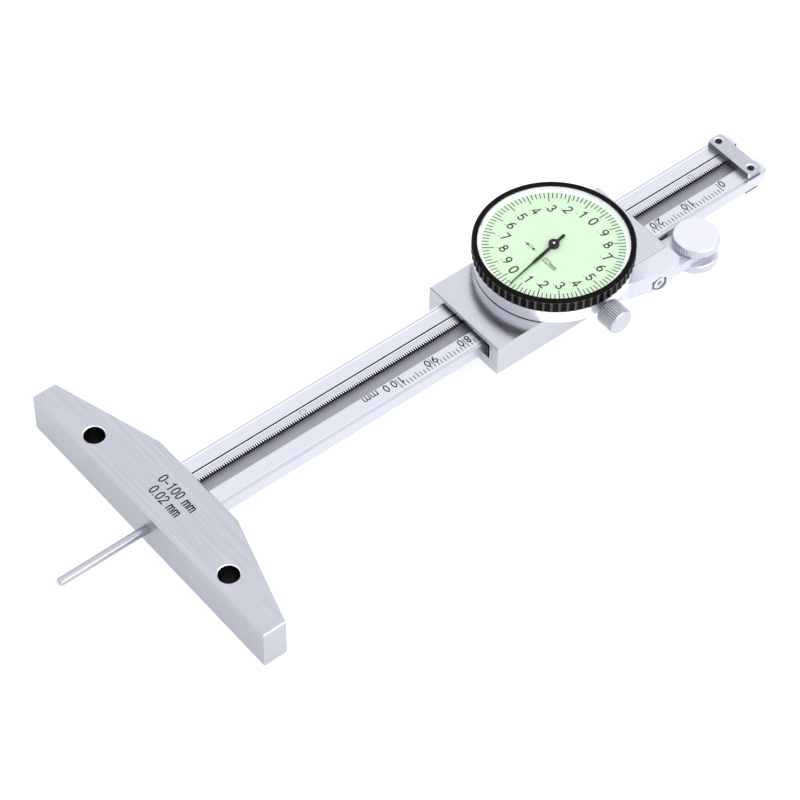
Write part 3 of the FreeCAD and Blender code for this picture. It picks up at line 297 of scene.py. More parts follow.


def brushed_steel(name, colour, along, rough=0.3, spread=0.08, depth=0.003 * MM, ends=None, end_along="Z",
                  end_shade_share=1.0, edge_light_share=1.15, holes=(), hole_radius=0.0, hole_shade_tone=(0.0, 0.0, 0.0)):
    """Steel brushed along one axis. Faces across the axis in ends are brushed along another, and may get
    painted shade by a share. The edge breaks get painted light by a share of their own. Upright holes get
    painted shade inside and a painted highlight on their chamfers."""
    graph = new_material(name)
    streaks = graph.streaks(along)
    if ends:
        on_end = graph.math("GREATER_THAN", graph.facing(ends), 0.7)
        streaks = graph.choose(on_end, streaks, graph.streaks(end_along))
    strong = graph.spread(streaks, 0.0, 1.0, 0.3, 0.7)
    clouds = graph.noise((0.08, 0.05, 0.08), detail=2.0)
    shade = graph.math("ADD", graph.math("MULTIPLY", strong, 0.7), graph.math("MULTIPLY", clouds, 0.3))
    tone = graph.tint(colour, shade, spread)
    # Painted shade on the faces across the ends axis, by a share of the colour.
    if ends:
        tone = graph.mix(on_end, tone, graph.tint(tuple(c * end_shade_share for c in colour), shade, spread))
    # Painted light on the edge breaks, by a share of the colour: brighter above 1, darker below.
    tone = graph.mix(graph.on_edge_breaks(), tone, share_of(colour, edge_light_share))
    # Painted highlight on each hole's chamfer and painted shade inside its bore.
    for centre in holes:
        away = graph.distance(centre, (1.0, 1.0, 0.0))
        chamfer = graph.math("LESS_THAN", away, hole_radius + CHAMFER_WIDE)
        chamfer = graph.math("MULTIPLY", chamfer, graph.on_edge_breaks())
        tone = graph.mix(chamfer, tone, WHITE)
        inside = graph.math("LESS_THAN", away, hole_radius + BORE_SLACK)
        tone = graph.mix(inside, tone, share_of(hole_shade_tone))
    return graph.surface(tone, graph.spread(strong, rough - 0.05, rough + 0.07),
                         metallic=1.0, bump=strong, depth=depth)


def beam_steel(name, colour, oil, floor, strip, edges, step, gap):
    """Satin steel brushed along the beam. It is duller below the strip's height, has painted shade on the
    channel's floor, painted highlights along edges at some X and on the step's wall, and painted shade in
    the gap behind the rack."""
    graph = new_material(name)
    streaks = graph.spread(graph.streaks("Y"), 0.0, 1.0, 0.3, 0.7)
    place = graph.place()
    on_top = graph.math("GREATER_THAN", graph.facing("Z"), 0.7)
    tone = graph.tint(colour, streaks, 0.03)
    on_land = graph.math("GREATER_THAN", place["Z"], strip)
    tone = graph.mix(graph.math("MULTIPLY", on_top, graph.math("SUBTRACT", 1.0, on_land)), tone,
                     graph.tint(tuple(c * 0.88 for c in colour), streaks, 0.03))
    # Painted shade on the channel's floor.
    low = graph.math("LESS_THAN", place["Z"], floor)
    in_channel = graph.math("MULTIPLY", on_top, low)
    tone = graph.mix(in_channel, tone, graph.tint(tuple(c * 0.56 for c in colour), streaks, 0.05))
    # Painted highlight lines along the edges at some X.
    for edge in edges:
        away = graph.math("ABSOLUTE", graph.math("SUBTRACT", place["X"], edge))
        near_edge = graph.math("LESS_THAN", away, HIGHLIGHT_AND_RING_LINE)
        tone = graph.mix(graph.math("MULTIPLY", near_edge, on_top), tone, WHITE)
    # Painted highlight on the step's wall.
    from_step = graph.math("ABSOLUTE", graph.math("SUBTRACT", place["X"], step))
    on_step = graph.math("LESS_THAN", from_step, STEP_LINE)
    on_step = graph.math("MULTIPLY", on_step, graph.math("GREATER_THAN", place["Z"], strip - STEP_WALL))
    tone = graph.mix(on_step, tone, WHITE)
    # Painted shade in the gap behind the rack.
    behind = graph.math("MULTIPLY", graph.math("LESS_THAN", place["X"], gap.y),
                        graph.math("GREATER_THAN", place["X"], gap.x))
    behind = graph.math("MULTIPLY", behind, graph.math("LESS_THAN", place["Z"], SCALE_PLANE - TOUCH))
    tone = graph.mix(behind, tone, share_of(oil))
    rough = graph.choose(in_channel, graph.spread(streaks, 0.30, 0.40), 0.55)
    return graph.surface(tone, rough, metallic=1.0, bump=streaks, depth=0.002 * MM)


def rack_steel(name, colour, oil, box, pins):
    """Ground steel with a painted highlight on the tops of its teeth, at the rack's highest X, and near its
    back edge. It has painted shade along its very back edge and on the upper part of its flanks, and is dark
    with oil in a ring round each pin."""
    graph = new_material(name)
    streaks = graph.spread(graph.streaks("Y"), 0.0, 1.0, 0.3, 0.7)
    place = graph.place()
    on_top = graph.spread(graph.facing("Z"), 0.0, 1.0, 0.5, 0.8)
    low, high = box
    # Painted highlight on the tops of the teeth and along the back edge.
    wear_and_highlight = graph.math("ADD", graph.spread(place["X"], 0.0, 1.0, high.x - TIPS_FROM, high.x - TIPS_FULL),
                      graph.spread(place["X"], 1.0, 0.0, low.x + BACK_FULL, low.x + BACK_TO))
    top = graph.mix(wear_and_highlight, graph.tint(colour, streaks, 0.05), WHITE)
    dark = share_of(oil)
    # Painted shade along the very back edge.
    top = graph.mix(graph.math("LESS_THAN", place["X"], low.x + BACK_SHADE), top, dark)
    radius = (pins[1].x - pins[0].x) / 2
    for centre in (pins[0] + Vector((radius, radius, 0)), pins[1] - Vector((radius, radius, 0))):
        away = graph.distance(centre, (1.0, 1.0, 0.0))
        ring = graph.math("MULTIPLY", graph.math("LESS_THAN", away, radius + HIGHLIGHT_AND_RING_LINE), 0.7)
        top = graph.mix(ring, top, dark)
    # Painted shade on the upper part of the flanks.
    side = graph.mix(graph.spread(place["Z"], 0.0, 1.0, low.z + FLANK_FROM, low.z + FLANK_FULL),
                     share_of(colour, 0.8), dark)
    return graph.surface(graph.mix(on_top, side, top), graph.choose(on_top, 0.6, 0.3),
                         metallic=1.0, bump=streaks, depth=0.002 * MM)


def turned_metal(name, colour, centre, axis="Z", rough=0.22, depth=0.002 * MM, spread=0.05):
    """Bright metal with fine rings round an axis through the centre."""
    graph = new_material(name)
    radius = graph.distance(centre, tuple(0.0 if a == axis else 1.0 / MM for a in "XYZ"))
    rings = graph.rings(radius)
    clouds = graph.noise((0.25, 0.25, 0.25), detail=3.0)
    shade = graph.math("ADD", graph.math("MULTIPLY", rings, 0.6), graph.math("MULTIPLY", clouds, 0.4))
    return graph.surface(graph.tint(colour, shade, spread), graph.spread(rings, rough - 0.05, rough + 0.06),
                         metallic=1.0, bump=rings, depth=depth)


def knurled_metal(name, colour, dull, root_shade_share, centre, axis, radius, rough=0.3, gap=None):
    """Turned metal whose knurled rim is duller than its faces, with painted shade in the roots of the knurl.
    Flat faces at the heights in gap get painted shade."""
    graph = new_material(name)
    across = graph.facing(axis)
    on_rim = graph.spread(across, 1.0, 0.0, 0.2, 0.6)
    away = graph.distance(centre, tuple(0.0 if a == axis else 1.0 / MM for a in "XYZ"))
    rings = graph.rings(away)
    grain = graph.noise((6.0, 6.0, 6.0), detail=3.0, rough=0.7)
    on_ridge = graph.spread(away, 0.0, 1.0, radius / MM - 0.15, radius / MM - 0.04)
    # Painted shade in the roots of the knurl.
    rim = graph.mix(on_ridge, share_of(dull, root_shade_share), share_of(dull))
    tone = graph.mix(on_rim, graph.tint(colour, rings, 0.05), rim)
    # Painted shade on the flat faces between the discs.
    if gap:
        height = graph.place()["Z"]
        inner = graph.math("MULTIPLY", graph.math("GREATER_THAN", height, gap[0] - TOUCH),
                           graph.math("LESS_THAN", height, gap[1] + TOUCH))
        inner = graph.math("MULTIPLY", inner, graph.math("GREATER_THAN", graph.facing("Z"), 0.7))
        tone = graph.mix(inner, tone, share_of(colour, 0.3))
    return graph.surface(tone, graph.choose(on_rim, rough, graph.spread(grain, 0.4, 0.55)),
                         metallic=1.0, bump=rings, depth=0.001 * MM)


def blasted_metal(name, colour, speckle=0.08, edge_light_share=1.4, shaded_way=None, shade_share=0.35):
    """Fine blasted surface, speckled with coarser grains, with painted light on its edge breaks. Its faces
    that look the shaded way get painted shade."""
    graph = new_material(name)
    grain = graph.noise((5.0, 5.0, 5.0), detail=3.0, rough=0.7)
    coarse = graph.spread(graph.noise((1.6, 1.6, 1.6), detail=4.0, rough=0.8), 0.0, 1.0, 0.3, 0.7)
    tone = graph.tint(colour, coarse, speckle)
    # Painted shade on the faces that look the shaded way.
    if shaded_way:
        looks = graph.vector("DOT_PRODUCT", graph.coordinates.outputs["Normal"], shaded_way)
        tone = graph.mix(graph.math("GREATER_THAN", looks, 0.9), tone,
                         graph.tint(tuple(c * shade_share for c in colour), coarse, 3 * speckle))
    # Painted light on the edge breaks, by a share of the colour.
    return graph.surface(graph.mix(graph.on_edge_breaks(), tone, share_of(colour, edge_light_share)),
                         graph.spread(grain, 0.38, 0.52), metallic=1.0, bump=grain, depth=0.02 * MM)


def black_bezel(name, colour, wear_and_highlight, ridge_sheen, centre, radius):
    """Black coated metal with wear to grey here and there on its grain, and painted sheen on its rim's
    ridges.
    """
    graph = new_material(name)
    away = graph.distance(centre, (1.0 / MM, 1.0 / MM, 0.0))
    outside = graph.spread(away, 0.0, 1.0, radius / MM - 0.12, radius / MM - 0.03)
    on_ridge = graph.math("MULTIPLY", outside, graph.spread(graph.facing("Z"), 1.0, 0.0, 0.3, 0.8))
    grain = graph.noise((5.0, 5.0, 5.0), detail=4.0, rough=0.7)
    clouds = graph.noise((0.4, 0.4, 0.4), detail=2.0)
    wear = graph.spread(graph.math("MULTIPLY", grain, clouds), 0.0, 0.6, 0.28, 0.42)
    tone = graph.mix(wear, share_of(colour), share_of(wear_and_highlight))
    # Painted sheen along the ridges of the rim.
    tone = graph.mix(on_ridge, tone, share_of(ridge_sheen))
    return graph.surface(tone, graph.spread(grain, 0.34, 0.50),
                         bump=grain, depth=0.006 * MM, Specular_IOR_Level=0.05)


def dial_enamel(name, green, edge, centre, radius):
    """Matt dial, green inside the lines' outer ends and pale outside them."""
    graph = new_material(name)
    distance = graph.distance(centre, (1.0, 1.0, 0.0))
    outside = graph.spread(distance, 0.0, 1.0, radius - 0.05 * MM, radius + 0.05 * MM)
    grain = graph.noise((3.0, 3.0, 3.0), detail=3.0)
    middle_tone = graph.tint(green, grain, 0.015)
    edge_tone = graph.tint(edge, grain, 0.015)
    return graph.surface(graph.mix(outside, middle_tone, edge_tone), graph.spread(grain, 0.5, 0.62),
                         bump=grain, depth=0.002 * MM, Specular_IOR_Level=0.3)


def satin_paint(name, colour, rough=0.4, spread=0.12, shine=0.10):
    """Thin satin paint or ink."""
    graph = new_material(name)
    grain = graph.noise((4.0, 4.0, 4.0), detail=3.0)
    return graph.surface(graph.tint(colour, grain, spread), graph.spread(grain, rough - 0.08, rough + 0.08),
                         bump=grain, depth=0.003 * MM, Specular_IOR_Level=shine)


def machined(name, colour, rough=0.3):
    """Plain machined metal for screws and inner pieces."""
    graph = new_material(name)
    marks = graph.noise((3.0, 3.0, 9.0), detail=5.0, rough=0.7)
    return graph.surface(graph.tint(colour, marks, 0.15), graph.spread(marks, rough - 0.08, rough + 0.1),
                         metallic=1.0, bump=marks, depth=0.004 * MM)


def clear_crystal(name):
    """Clear polished sheet that lets the dial show."""
    graph = new_material(name)
    haze = graph.noise((0.2, 0.2, 0.2), detail=2.0)
    made = graph.surface((0.45, 0.50, 0.46, 1.0), graph.spread(haze, 0.03, 0.06))
    graph.shader.inputs["Alpha"].default_value = 0.02
    made.surface_render_method = "BLENDED"
    return made


def dress(material, *nodes):
    """Puts the material on each node, and keeps the node's edges crisp."""
    for name in nodes:
        piece = frame["nodes"][name]
        piece.data.materials.clear()
        piece.data.materials.append(material)
        if "crisp_edges" not in piece.modifiers:
            crisp = piece.modifiers.new("crisp_edges", "EDGE_SPLIT")
            crisp.split_angle = math.radians(CRISP_ANGLE)


# Mesh helpers

def link_mesh(name, mesh, material, body):
    piece = bpy.data.objects.new(name, mesh)
    bpy.context.scene.collection.objects.link(piece)
    mesh.materials.append(material)
    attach(piece, body)
    return piece


def add_slab(sheet, faces, low, high):
    """Adds a flat plate made of faces that share their corners, each counter-clockwise."""
    lower, upper = {}, {}
    sides = set()
    for face in faces:
        keys = [(round(p.x, 9), round(p.y, 9)) for p in face]
        for key in keys:
            if key not in lower:
                lower[key] = sheet.verts.new((*key, low))
                upper[key] = sheet.verts.new((*key, high))
        sheet.faces.new([upper[key] for key in keys])
        sheet.faces.new([lower[key] for key in reversed(keys)])
        sides.update(zip(keys, keys[1:] + keys[:1]))
    for start, end in sides:
        if (end, start) not in sides:
            sheet.faces.new((lower[start], lower[end], upper[end], upper[start]))


def circle_points(centre, radius, start, end, steps):
    """Points of an arc, angles in degrees, with both ends. A radius may be a pair for an ellipse."""
    wide, tall = radius if isinstance(radius, tuple) else (radius, radius)
    turns = [math.radians(start + (end - start) * k / steps) for k in range(steps + 1)]
    return [Vector((centre[0] + wide * math.cos(t), centre[1] + tall * math.sin(t))) for t in turns]


def bar_faces(start, end, width):
    """A straight bar with square ends."""
    side = (end - start).normalized().orthogonal() * width / 2
    return [[start - side, end - side, end + side, start + side]]


def disc_faces(centre, radius, sides=20):
    return [circle_points(centre, radius, 0, 360, sides)[:-1]]


def stroke_faces(points, width, cap_steps=5):
    """A stroke of even width along the points, closed where the first point comes again, else with
    round ends."""
    closed = (points[0] - points[-1]).length < 1e-9
    ring = points[:-1] if closed else points
    count = len(ring)
    left, right = [], []
    for k, point in enumerate(ring):
        before = ring[k - 1] if k or closed else point
        after = ring[(k + 1) % count] if k < count - 1 or closed else point
        ways = [(b - a).normalized() for a, b in ((before, point), (point, after)) if (b - a).length > 1e-9]
        normals = [way.orthogonal() for way in ways]
        mitre = (normals[0] + normals[-1]).normalized()
        offset = mitre * width / 2 / max(0.4, mitre.dot(normals[0]))
        left.append(point + offset)
        right.append(point - offset)
    spans = count if closed else count - 1
    faces = [[right[k], right[(k + 1) % count], left[(k + 1) % count], left[k]] for k in range(spans)]
    if not closed:
        for tip, start, other in ((ring[-1], right[-1], left[-1]), (ring[0], left[0], right[0])):
            angle = math.degrees(math.atan2(start.y - tip.y, start.x - tip.x))
            arc = circle_points(tip, width / 2, angle, angle + 180, cap_steps)
            faces.append([start, *arc[1:-1], other])
    return faces


def finished(sheet, name):
    bmesh.ops.recalc_face_normals(sheet, faces=sheet.faces)
    mesh = bpy.data.meshes.new(name)
    sheet.to_mesh(mesh)
    sheet.free()
    return mesh


# Figures, drawn as strokes in a box that is 0.6 wide and 1 high

def figure_strokes(sign):
    """The strokes of a figure or a letter, each a list of points."""
    def bow(x, y, wide, tall, start, end):
        return circle_points((x, y), (wide, tall), start, end, max(6, round(abs(end - start) / 15)))

    def line(*points):
        return [Vector(p) for p in points]

    return {
        "0": [bow(0.30, 0.50, 0.25, 0.47, 0, 360)],
        "1": [line((0.13, 0.77), (0.35, 0.97), (0.35, 0.03))],
        "2": [bow(0.30, 0.70, 0.24, 0.27, 165, -35) + line((0.06, 0.03), (0.56, 0.03))],
        "3": [bow(0.28, 0.74, 0.21, 0.23, 155, -80) + bow(0.28, 0.27, 0.25, 0.24, 80, -155)],
        "4": [line((0.43, 0.03), (0.43, 0.97), (0.05, 0.28), (0.58, 0.28))],
        "5": [line((0.52, 0.97), (0.15, 0.97), (0.09, 0.52)) + bow(0.29, 0.31, 0.25, 0.28, 135, -150)],
        "6": [bow(0.30, 0.30, 0.25, 0.27, 0, 360), bow(0.53, 0.33, 0.48, 0.64, 177, 102)],
        "7": [line((0.05, 0.97), (0.56, 0.97), (0.23, 0.03))],
        "8": [bow(0.30, 0.74, 0.20, 0.23, 0, 360), bow(0.30, 0.27, 0.25, 0.24, 0, 360)],
        "9": [bow(0.30, 0.70, 0.25, 0.27, 0, 360), bow(0.07, 0.67, 0.48, 0.64, -3, -72)],
        "m": [line((0.04, 0.03), (0.04, 0.70)),
              bow(0.20, 0.48, 0.16, 0.20, 180, 0) + line((0.36, 0.03)),
              bow(0.52, 0.48, 0.16, 0.20, 180, 0) + line((0.68, 0.03))],
        "-": [line((0.08, 0.40), (0.46, 0.40))],
        ".": [line((0.10, 0.03), (0.10, 0.07))],
        " ": [],
    }[sign]


WIDTHS = {"m": 0.72, "-": 0.54, ".": 0.20, " ": 0.34}       # of the signs that aren't 0.6 wide
INK = 0.010 * MM            # thickness of printed lines
LIFT = 0.002 * MM           # gap between a face and the print on it
UNIT_IN, UNIT_ON = 0.25 * MM, 7.6 * MM      # "mm" on the beam, inwards of the figures and past the 100 line
BASE_WORDS = (("0-100 mm", 9.1 * MM), ("0.02 mm", 5.6 * MM))        # each with its Y
BASE_WORDS_X, BASE_WORDS_HIGH = 0.2 * MM, 2.55 * MM
DIGIT_SHIFT = Vector((0.63, 0.16)) * MM     # of the dial's digits but the noughts, from their circle
DOT_SHIFT = Vector((-1.14, -1.06)) * MM     # of a dot, from its digit's middle
DOT_RADIUS = 0.13 * MM
NOUGHT_SHARE = 1.1          # height of a nought on the dial, as a share of the other digits'
ARROWS_SHIFT = Vector((-3.2, -4.5)) * MM    # from the dial's centre
DIVISION_SHIFT = Vector((3.2, -4.6)) * MM   # of "0.02mm", from the dial's centre
DIVISION_HIGH = 1.4 * MM


def add_words(sheet, words, place, turn, high, low_z, weight=0.16, gap=0.14, narrow=1.0):
    """Adds words of the given height, centred on a place and turned about it, to the sheet."""
    widths = [WIDTHS.get(sign, 0.6) for sign in words]
    across = -(sum(widths) + gap * (len(words) - 1)) / 2
    place_on = Matrix.Translation((place.x, place.y, 0)) @ Matrix.Rotation(turn, 4, "Z")
    for sign, width in zip(words, widths):
        for stroke in figure_strokes(sign):
            points = [Vector(((across + p.x) * narrow, p.y - 0.5)) * high for p in stroke]
            points = [(place_on @ p.to_3d()).to_2d() for p in points]
            add_slab(sheet, stroke_faces(points, weight * high), low_z, low_z + INK)
        across += width + gap


# Operators

SKY_TONE = (0.955, 0.965, 1.0)
SKY_GLOW, RING_GLOW, PANEL_GLOW = 0.80, 0.35, 0.45
RING_START, RING_END = (0.05, 0.25), (0.45, 0.75)      # heights in the sky where the ring grows and fades
PANEL_EDGE = (0.72, 0.97)   # how near to its way the panel starts, and is full
STAGE_MIDDLE = Vector((0.0, 0.08, 0.0))
FLOOR_HALF = 3.0            # metres from the floor's middle to its sides
FLOOR_DROP = 0.05 * MM      # from the lowest point of the gauge to the floor
FLOOR_GLOW = 0.70
FLOOR_TONE, FLOOR_LIGHT = (0.55, 0.55, 0.555), (0.95, 0.965, 1.0, 1.0)
LAMPS = (("top_light", (0.10, -0.05, 1.00), 0.9, 2.0),         # name, place, size in metres, power in watts
         ("side_light", (0.75, 0.30, 0.45), 1.0, 2.6))
CAMERA_TURN, CAMERA_RISE, CAMERA_ROLL = (math.radians(a) for a in (50.65, 49.98, 0.6))
CAMERA_AIM = Vector((9.10, 65.81, 4.8)) * MM
CAMERA_AWAY = 783.64 * MM
CAMERA_LENS = 153.44        # mm, on a 36 mm sensor
PANEL_WAY = (-0.497, 0.408, 0.766)      # from the object towards the middle of the soft panel


class GAUGE_OT_stage(bpy.types.Operator):
    """Pale floor, soft studio light and the camera"""
    bl_idname = "gauge.stage"
    bl_label = "Stage"

    def execute(self, context):
        scene = context.scene
        scene.view_settings.view_transform = "Standard"
        self.make_floor(scene)
        self.make_world(scene)
        for lamp in LAMPS:
            self.make_light(scene, *lamp)
        self.make_camera(scene)
        return {"FINISHED"}

    def make_floor(self, scene):
        sheet = bmesh.new()
        bmesh.ops.create_grid(sheet, x_segments=2, y_segments=2, size=FLOOR_HALF)
        floor = bpy.data.objects.new("floor", finished(sheet, "floor"))
        floor.location = (*STAGE_MIDDLE.xy, CAD_BOX[0].z - FLOOR_DROP)
        graph = new_material("pale_floor")
        cloud = graph.noise((0.01, 0.01, 0.01), detail=2.0)
        graph.shader.inputs["Emission Color"].default_value = FLOOR_LIGHT
        graph.shader.inputs["Emission Strength"].default_value = FLOOR_GLOW
        floor.data.materials.append(graph.surface(graph.tint(FLOOR_TONE, cloud, 0.01), 0.7))
        scene.collection.objects.link(floor)

    def make_world(self, scene):
        """A bright sky with a pale ring above the horizon and a broad soft panel on one side."""
        graph = Graph(bpy.data.worlds.new("studio"), "Background")
        way = graph.coordinates.outputs["Generated"]
        height = graph.node("SeparateXYZ", Vector=way).outputs["Z"]
        ring = graph.math("MULTIPLY", graph.spread(height, 0.0, 1.0, *RING_START, smooth=True),
                          graph.spread(height, 1.0, 0.0, *RING_END, smooth=True))
        panel = graph.spread(graph.vector("DOT_PRODUCT", way, PANEL_WAY), 0.0, 1.0, *PANEL_EDGE, smooth=True)
        glow = graph.math("ADD", graph.math("MULTIPLY", ring, RING_GLOW),
                          graph.math("MULTIPLY", panel, PANEL_GLOW))
        graph.feed(graph.shader.inputs["Strength"], graph.math("ADD", SKY_GLOW, glow))
        graph.shader.inputs["Color"].default_value = (*SKY_TONE, 1.0)
        scene.world = graph.owner

    def make_light(self, scene, name, place, size, power):
        light = bpy.data.lights.new(name, "AREA")
        light.shape = "DISK"
        light.size = size
        light.energy = power
        lamp = bpy.data.objects.new(name, light)
        lamp.location = place
        lamp.rotation_euler = (STAGE_MIDDLE - Vector(place)).to_track_quat("-Z", "Y").to_euler()
        scene.collection.objects.link(lamp)

    def make_camera(self, scene):
        back = Vector((math.sin(CAMERA_TURN) * math.cos(CAMERA_RISE),
                       -math.cos(CAMERA_TURN) * math.cos(CAMERA_RISE), math.sin(CAMERA_RISE)))
        right = (-back).cross(Vector((0, 0, 1))).normalized()
        up = right.cross(-back)
        side = right * math.cos(CAMERA_ROLL) + up * math.sin(CAMERA_ROLL)
        top = up * math.cos(CAMERA_ROLL) - right * math.sin(CAMERA_ROLL)
        camera = bpy.data.objects.new("camera", bpy.data.cameras.new("camera"))
        camera.data.lens = CAMERA_LENS
        camera.data.sensor_width = 36.0
        camera.data.clip_start = 0.05
        turned = Matrix((side, top, back)).transposed().to_4x4()
        camera.matrix_world = Matrix.Translation(CAMERA_AIM + back * CAMERA_AWAY) @ turned
        scene.collection.objects.link(camera)
        scene.camera = camera


class GAUGE_OT_frame_finish(bpy.types.Operator):
    """Finishes of the base, the beam, the rack and the stop plates"""
    bl_idname = "gauge.frame_finish"
    bl_label = "Base and beam finish"

    def execute(self, context):
        tones = context.scene.gauge_colours
        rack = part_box("rack")
        bolts = next(m for m in frame["record"]["mounts"] if m["name"] == "base_holes")
        half = Vector((bolts["dims"]["spacing_x_mm"] * MM / 2, 0, 0))
        holes = [Vector(bolts["pos_m"]) + side * half for side in (-1, 1)]
        # Painted shade on the base's front and back, painted light on its edge breaks, painted shade in its
        # holes and a painted highlight on their chamfers.
        dress(brushed_steel("ground_base", tones.base, "X", rough=0.34, spread=0.18, ends="Y", end_along="X",
                            end_shade_share=0.80, holes=holes, hole_radius=bolts["dims"]["hole_r_mm"] * MM,
                            hole_shade_tone=tones.oil), "base")
        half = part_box("beam")[1].x
        gap = Vector((rack[0].x - GAP_WIDE, rack[0].x + TOUCH))
        # Painted shade and painted highlights on the beam.
        dress(beam_steel("satin_beam", tones.beam, tones.oil, rack[0].z + FLOOR_SLACK,
                         SCALE_PLANE - LAND_SLACK, [inset - half for inset in HIGHLIGHT_INSETS],
                         half - STEP_INSET, gap), "beam")
        # Painted highlights and painted shade on the rack, and oil round its pins.
        dress(rack_steel("oiled_and_shaded_rack", tones.rack, tones.oil, rack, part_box("rack_pins")), "rack")
        dress(brushed_steel("ground_pins", tones.rack, "Y"), "rack_pins")
        dress(brushed_steel("ground_rod", tones.rod, "Y", rough=0.22, spread=0.05), "depth_rod",
              "base_dowels")
        # Painted shade on the stop plate's front and painted light on its edge breaks.
        dress(blasted_metal("blasted_stop", tones.base, speckle=0.12, edge_light_share=1.8,
                            shaded_way=(0.0, -1.0, 0.0)), "stop_plate")
        # Painted shade on the under plate's side that faces +X.
        dress(blasted_metal("blasted_under", tones.base, speckle=0.12, shaded_way=(1.0, 0.0, 0.0),
                            shade_share=0.15), "under_plate")
        dress(machined("dark_screws", tones.screws), "stop_screws", "rod_screws")
        return {"FINISHED"}


class GAUGE_OT_slider_finish(bpy.types.Operator):
    """Finishes of the slider, the thumb rest, the roller, the clamp screw and the inner pieces"""
    bl_idname = "gauge.slider_finish"
    bl_label = "Slider finish"

    def execute(self, context):
        tones = context.scene.gauge_colours
        # Painted shade on the slider's front and back, and darker painted edge breaks.
        dress(brushed_steel("brushed_slider", tones.slider, "X", rough=0.21, spread=0.10,
                            depth=0.0012 * MM, ends="Y", end_along="X", end_shade_share=0.84, edge_light_share=0.60),
              "slider_body")
        # The gib strip is made dark as painted shade.
        dress(brushed_steel("shaded_gib", tones.screws, "Y", rough=0.5), "gib_strip")
        # Painted shade on the thumb rest's faces towards the beam, and painted light on its edge breaks.
        dress(blasted_metal("blasted_thumb_rest", tones.casting, speckle=0.06, edge_light_share=1.1,
                            shaded_way=(-1.0, 0.0, 0.0), shade_share=0.03), "thumb_rest")
        dress(machined("rest_screw", tones.casting), "thumb_rest_screw")
        low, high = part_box("roller_upper")
        # Painted shade in the knurl's roots and on the faces between the discs.
        dress(knurled_metal("knurled_roller", tones.roller, tones.knurl, 0.85, middle("roller_upper"), "Z",
                            (high.x - low.x) / 2, gap=(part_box("roller_lower")[1].z, low.z)),
              "roller_upper", "roller_lower")
        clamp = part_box("clamp_screw")
        # Painted shade in the knurl's roots.
        dress(knurled_metal("knurled_clamp", tones.clamp, tones.knurl, 0.42, middle("clamp_screw"), "X",
                            (clamp[1].y - clamp[0].y) / 2), "clamp_screw")
        dress(turned_metal("turned_housing", tones.bright, middle("dial_housing"), rough=0.34),
              "dial_housing")
        dress(machined("spring_steel", (0.45, 0.45, 0.47)), "gib_spring", "housing_screws", "bridge_screws",
              "bezel_snap_ring", "hairspring")
        dress(machined("brass", (0.78, 0.58, 0.28)), "clamp_shoe", "rack_pinion", "drive_wheel",
              "centre_arbor", "backlash_gear", "movement_bridge", "bridge_pillars")
        return {"FINISHED"}


class GAUGE_OT_dial_finish(bpy.types.Operator):
    """Finishes of the bezel, the dial, the crystal and the hand"""
    bl_idname = "gauge.dial_finish"
    bl_label = "Dial finish"

    def execute(self, context):
        scene = context.scene
        tones = scene.gauge_colours
        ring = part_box("bezel_ring")
        # Painted sheen along the bezel's ridges.
        dress(black_bezel("black_bezel", tones.bezel, tones.bezel_worn, tones.bezel_ridge,
                          middle("bezel_ring"), (ring[1].x - ring[0].x) / 2), "bezel_ring")
        dress(dial_enamel("dial_enamel", tones.dial, tones.dial_edge, middle("dial_face"),
                          scene.gauge_dial.line_radius), "dial_face")
        dress(satin_paint("pale_ring", tones.dial_edge, rough=0.45, spread=0.02, shine=0.3), "dial_spacer")
        dress(clear_crystal("clear_crystal"), "crystal")
        dress(satin_paint("dark_hand", tones.hand, rough=0.35, spread=0.2), "hand")
        self.make_hub_pin(turned_metal("bright_pin", tones.bright, middle("centre_arbor")))
        return {"FINISHED"}

    def make_hub_pin(self, material):
        """The domed end of the arbor, which shows in the middle of the hand's hub."""
        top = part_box("hand")[1].z
        centre = middle("centre_arbor")
        profile = [(0.30, -0.10), (0.30, 0.01), (0.27, 0.04), (0.20, 0.065), (0.10, 0.075)]
        sheet = bmesh.new()
        rings = []
        for radius, rise in profile:
            around = circle_points((centre.x, centre.y), radius * MM, 0, 360, 24)[:-1]
            rings.append([sheet.verts.new((p.x, p.y, top + rise * MM)) for p in around])
        for lower, upper in zip(rings, rings[1:]):
            for k in range(len(lower)):
                after = (k + 1) % len(lower)
                sheet.faces.new((lower[k], lower[after], upper[after], upper[k]))
        sheet.faces.new(rings[-1])
        sheet.faces.new(list(reversed(rings[0])))
        link_mesh("hub_pin", finished(sheet, "hub_pin"), material, "hand")


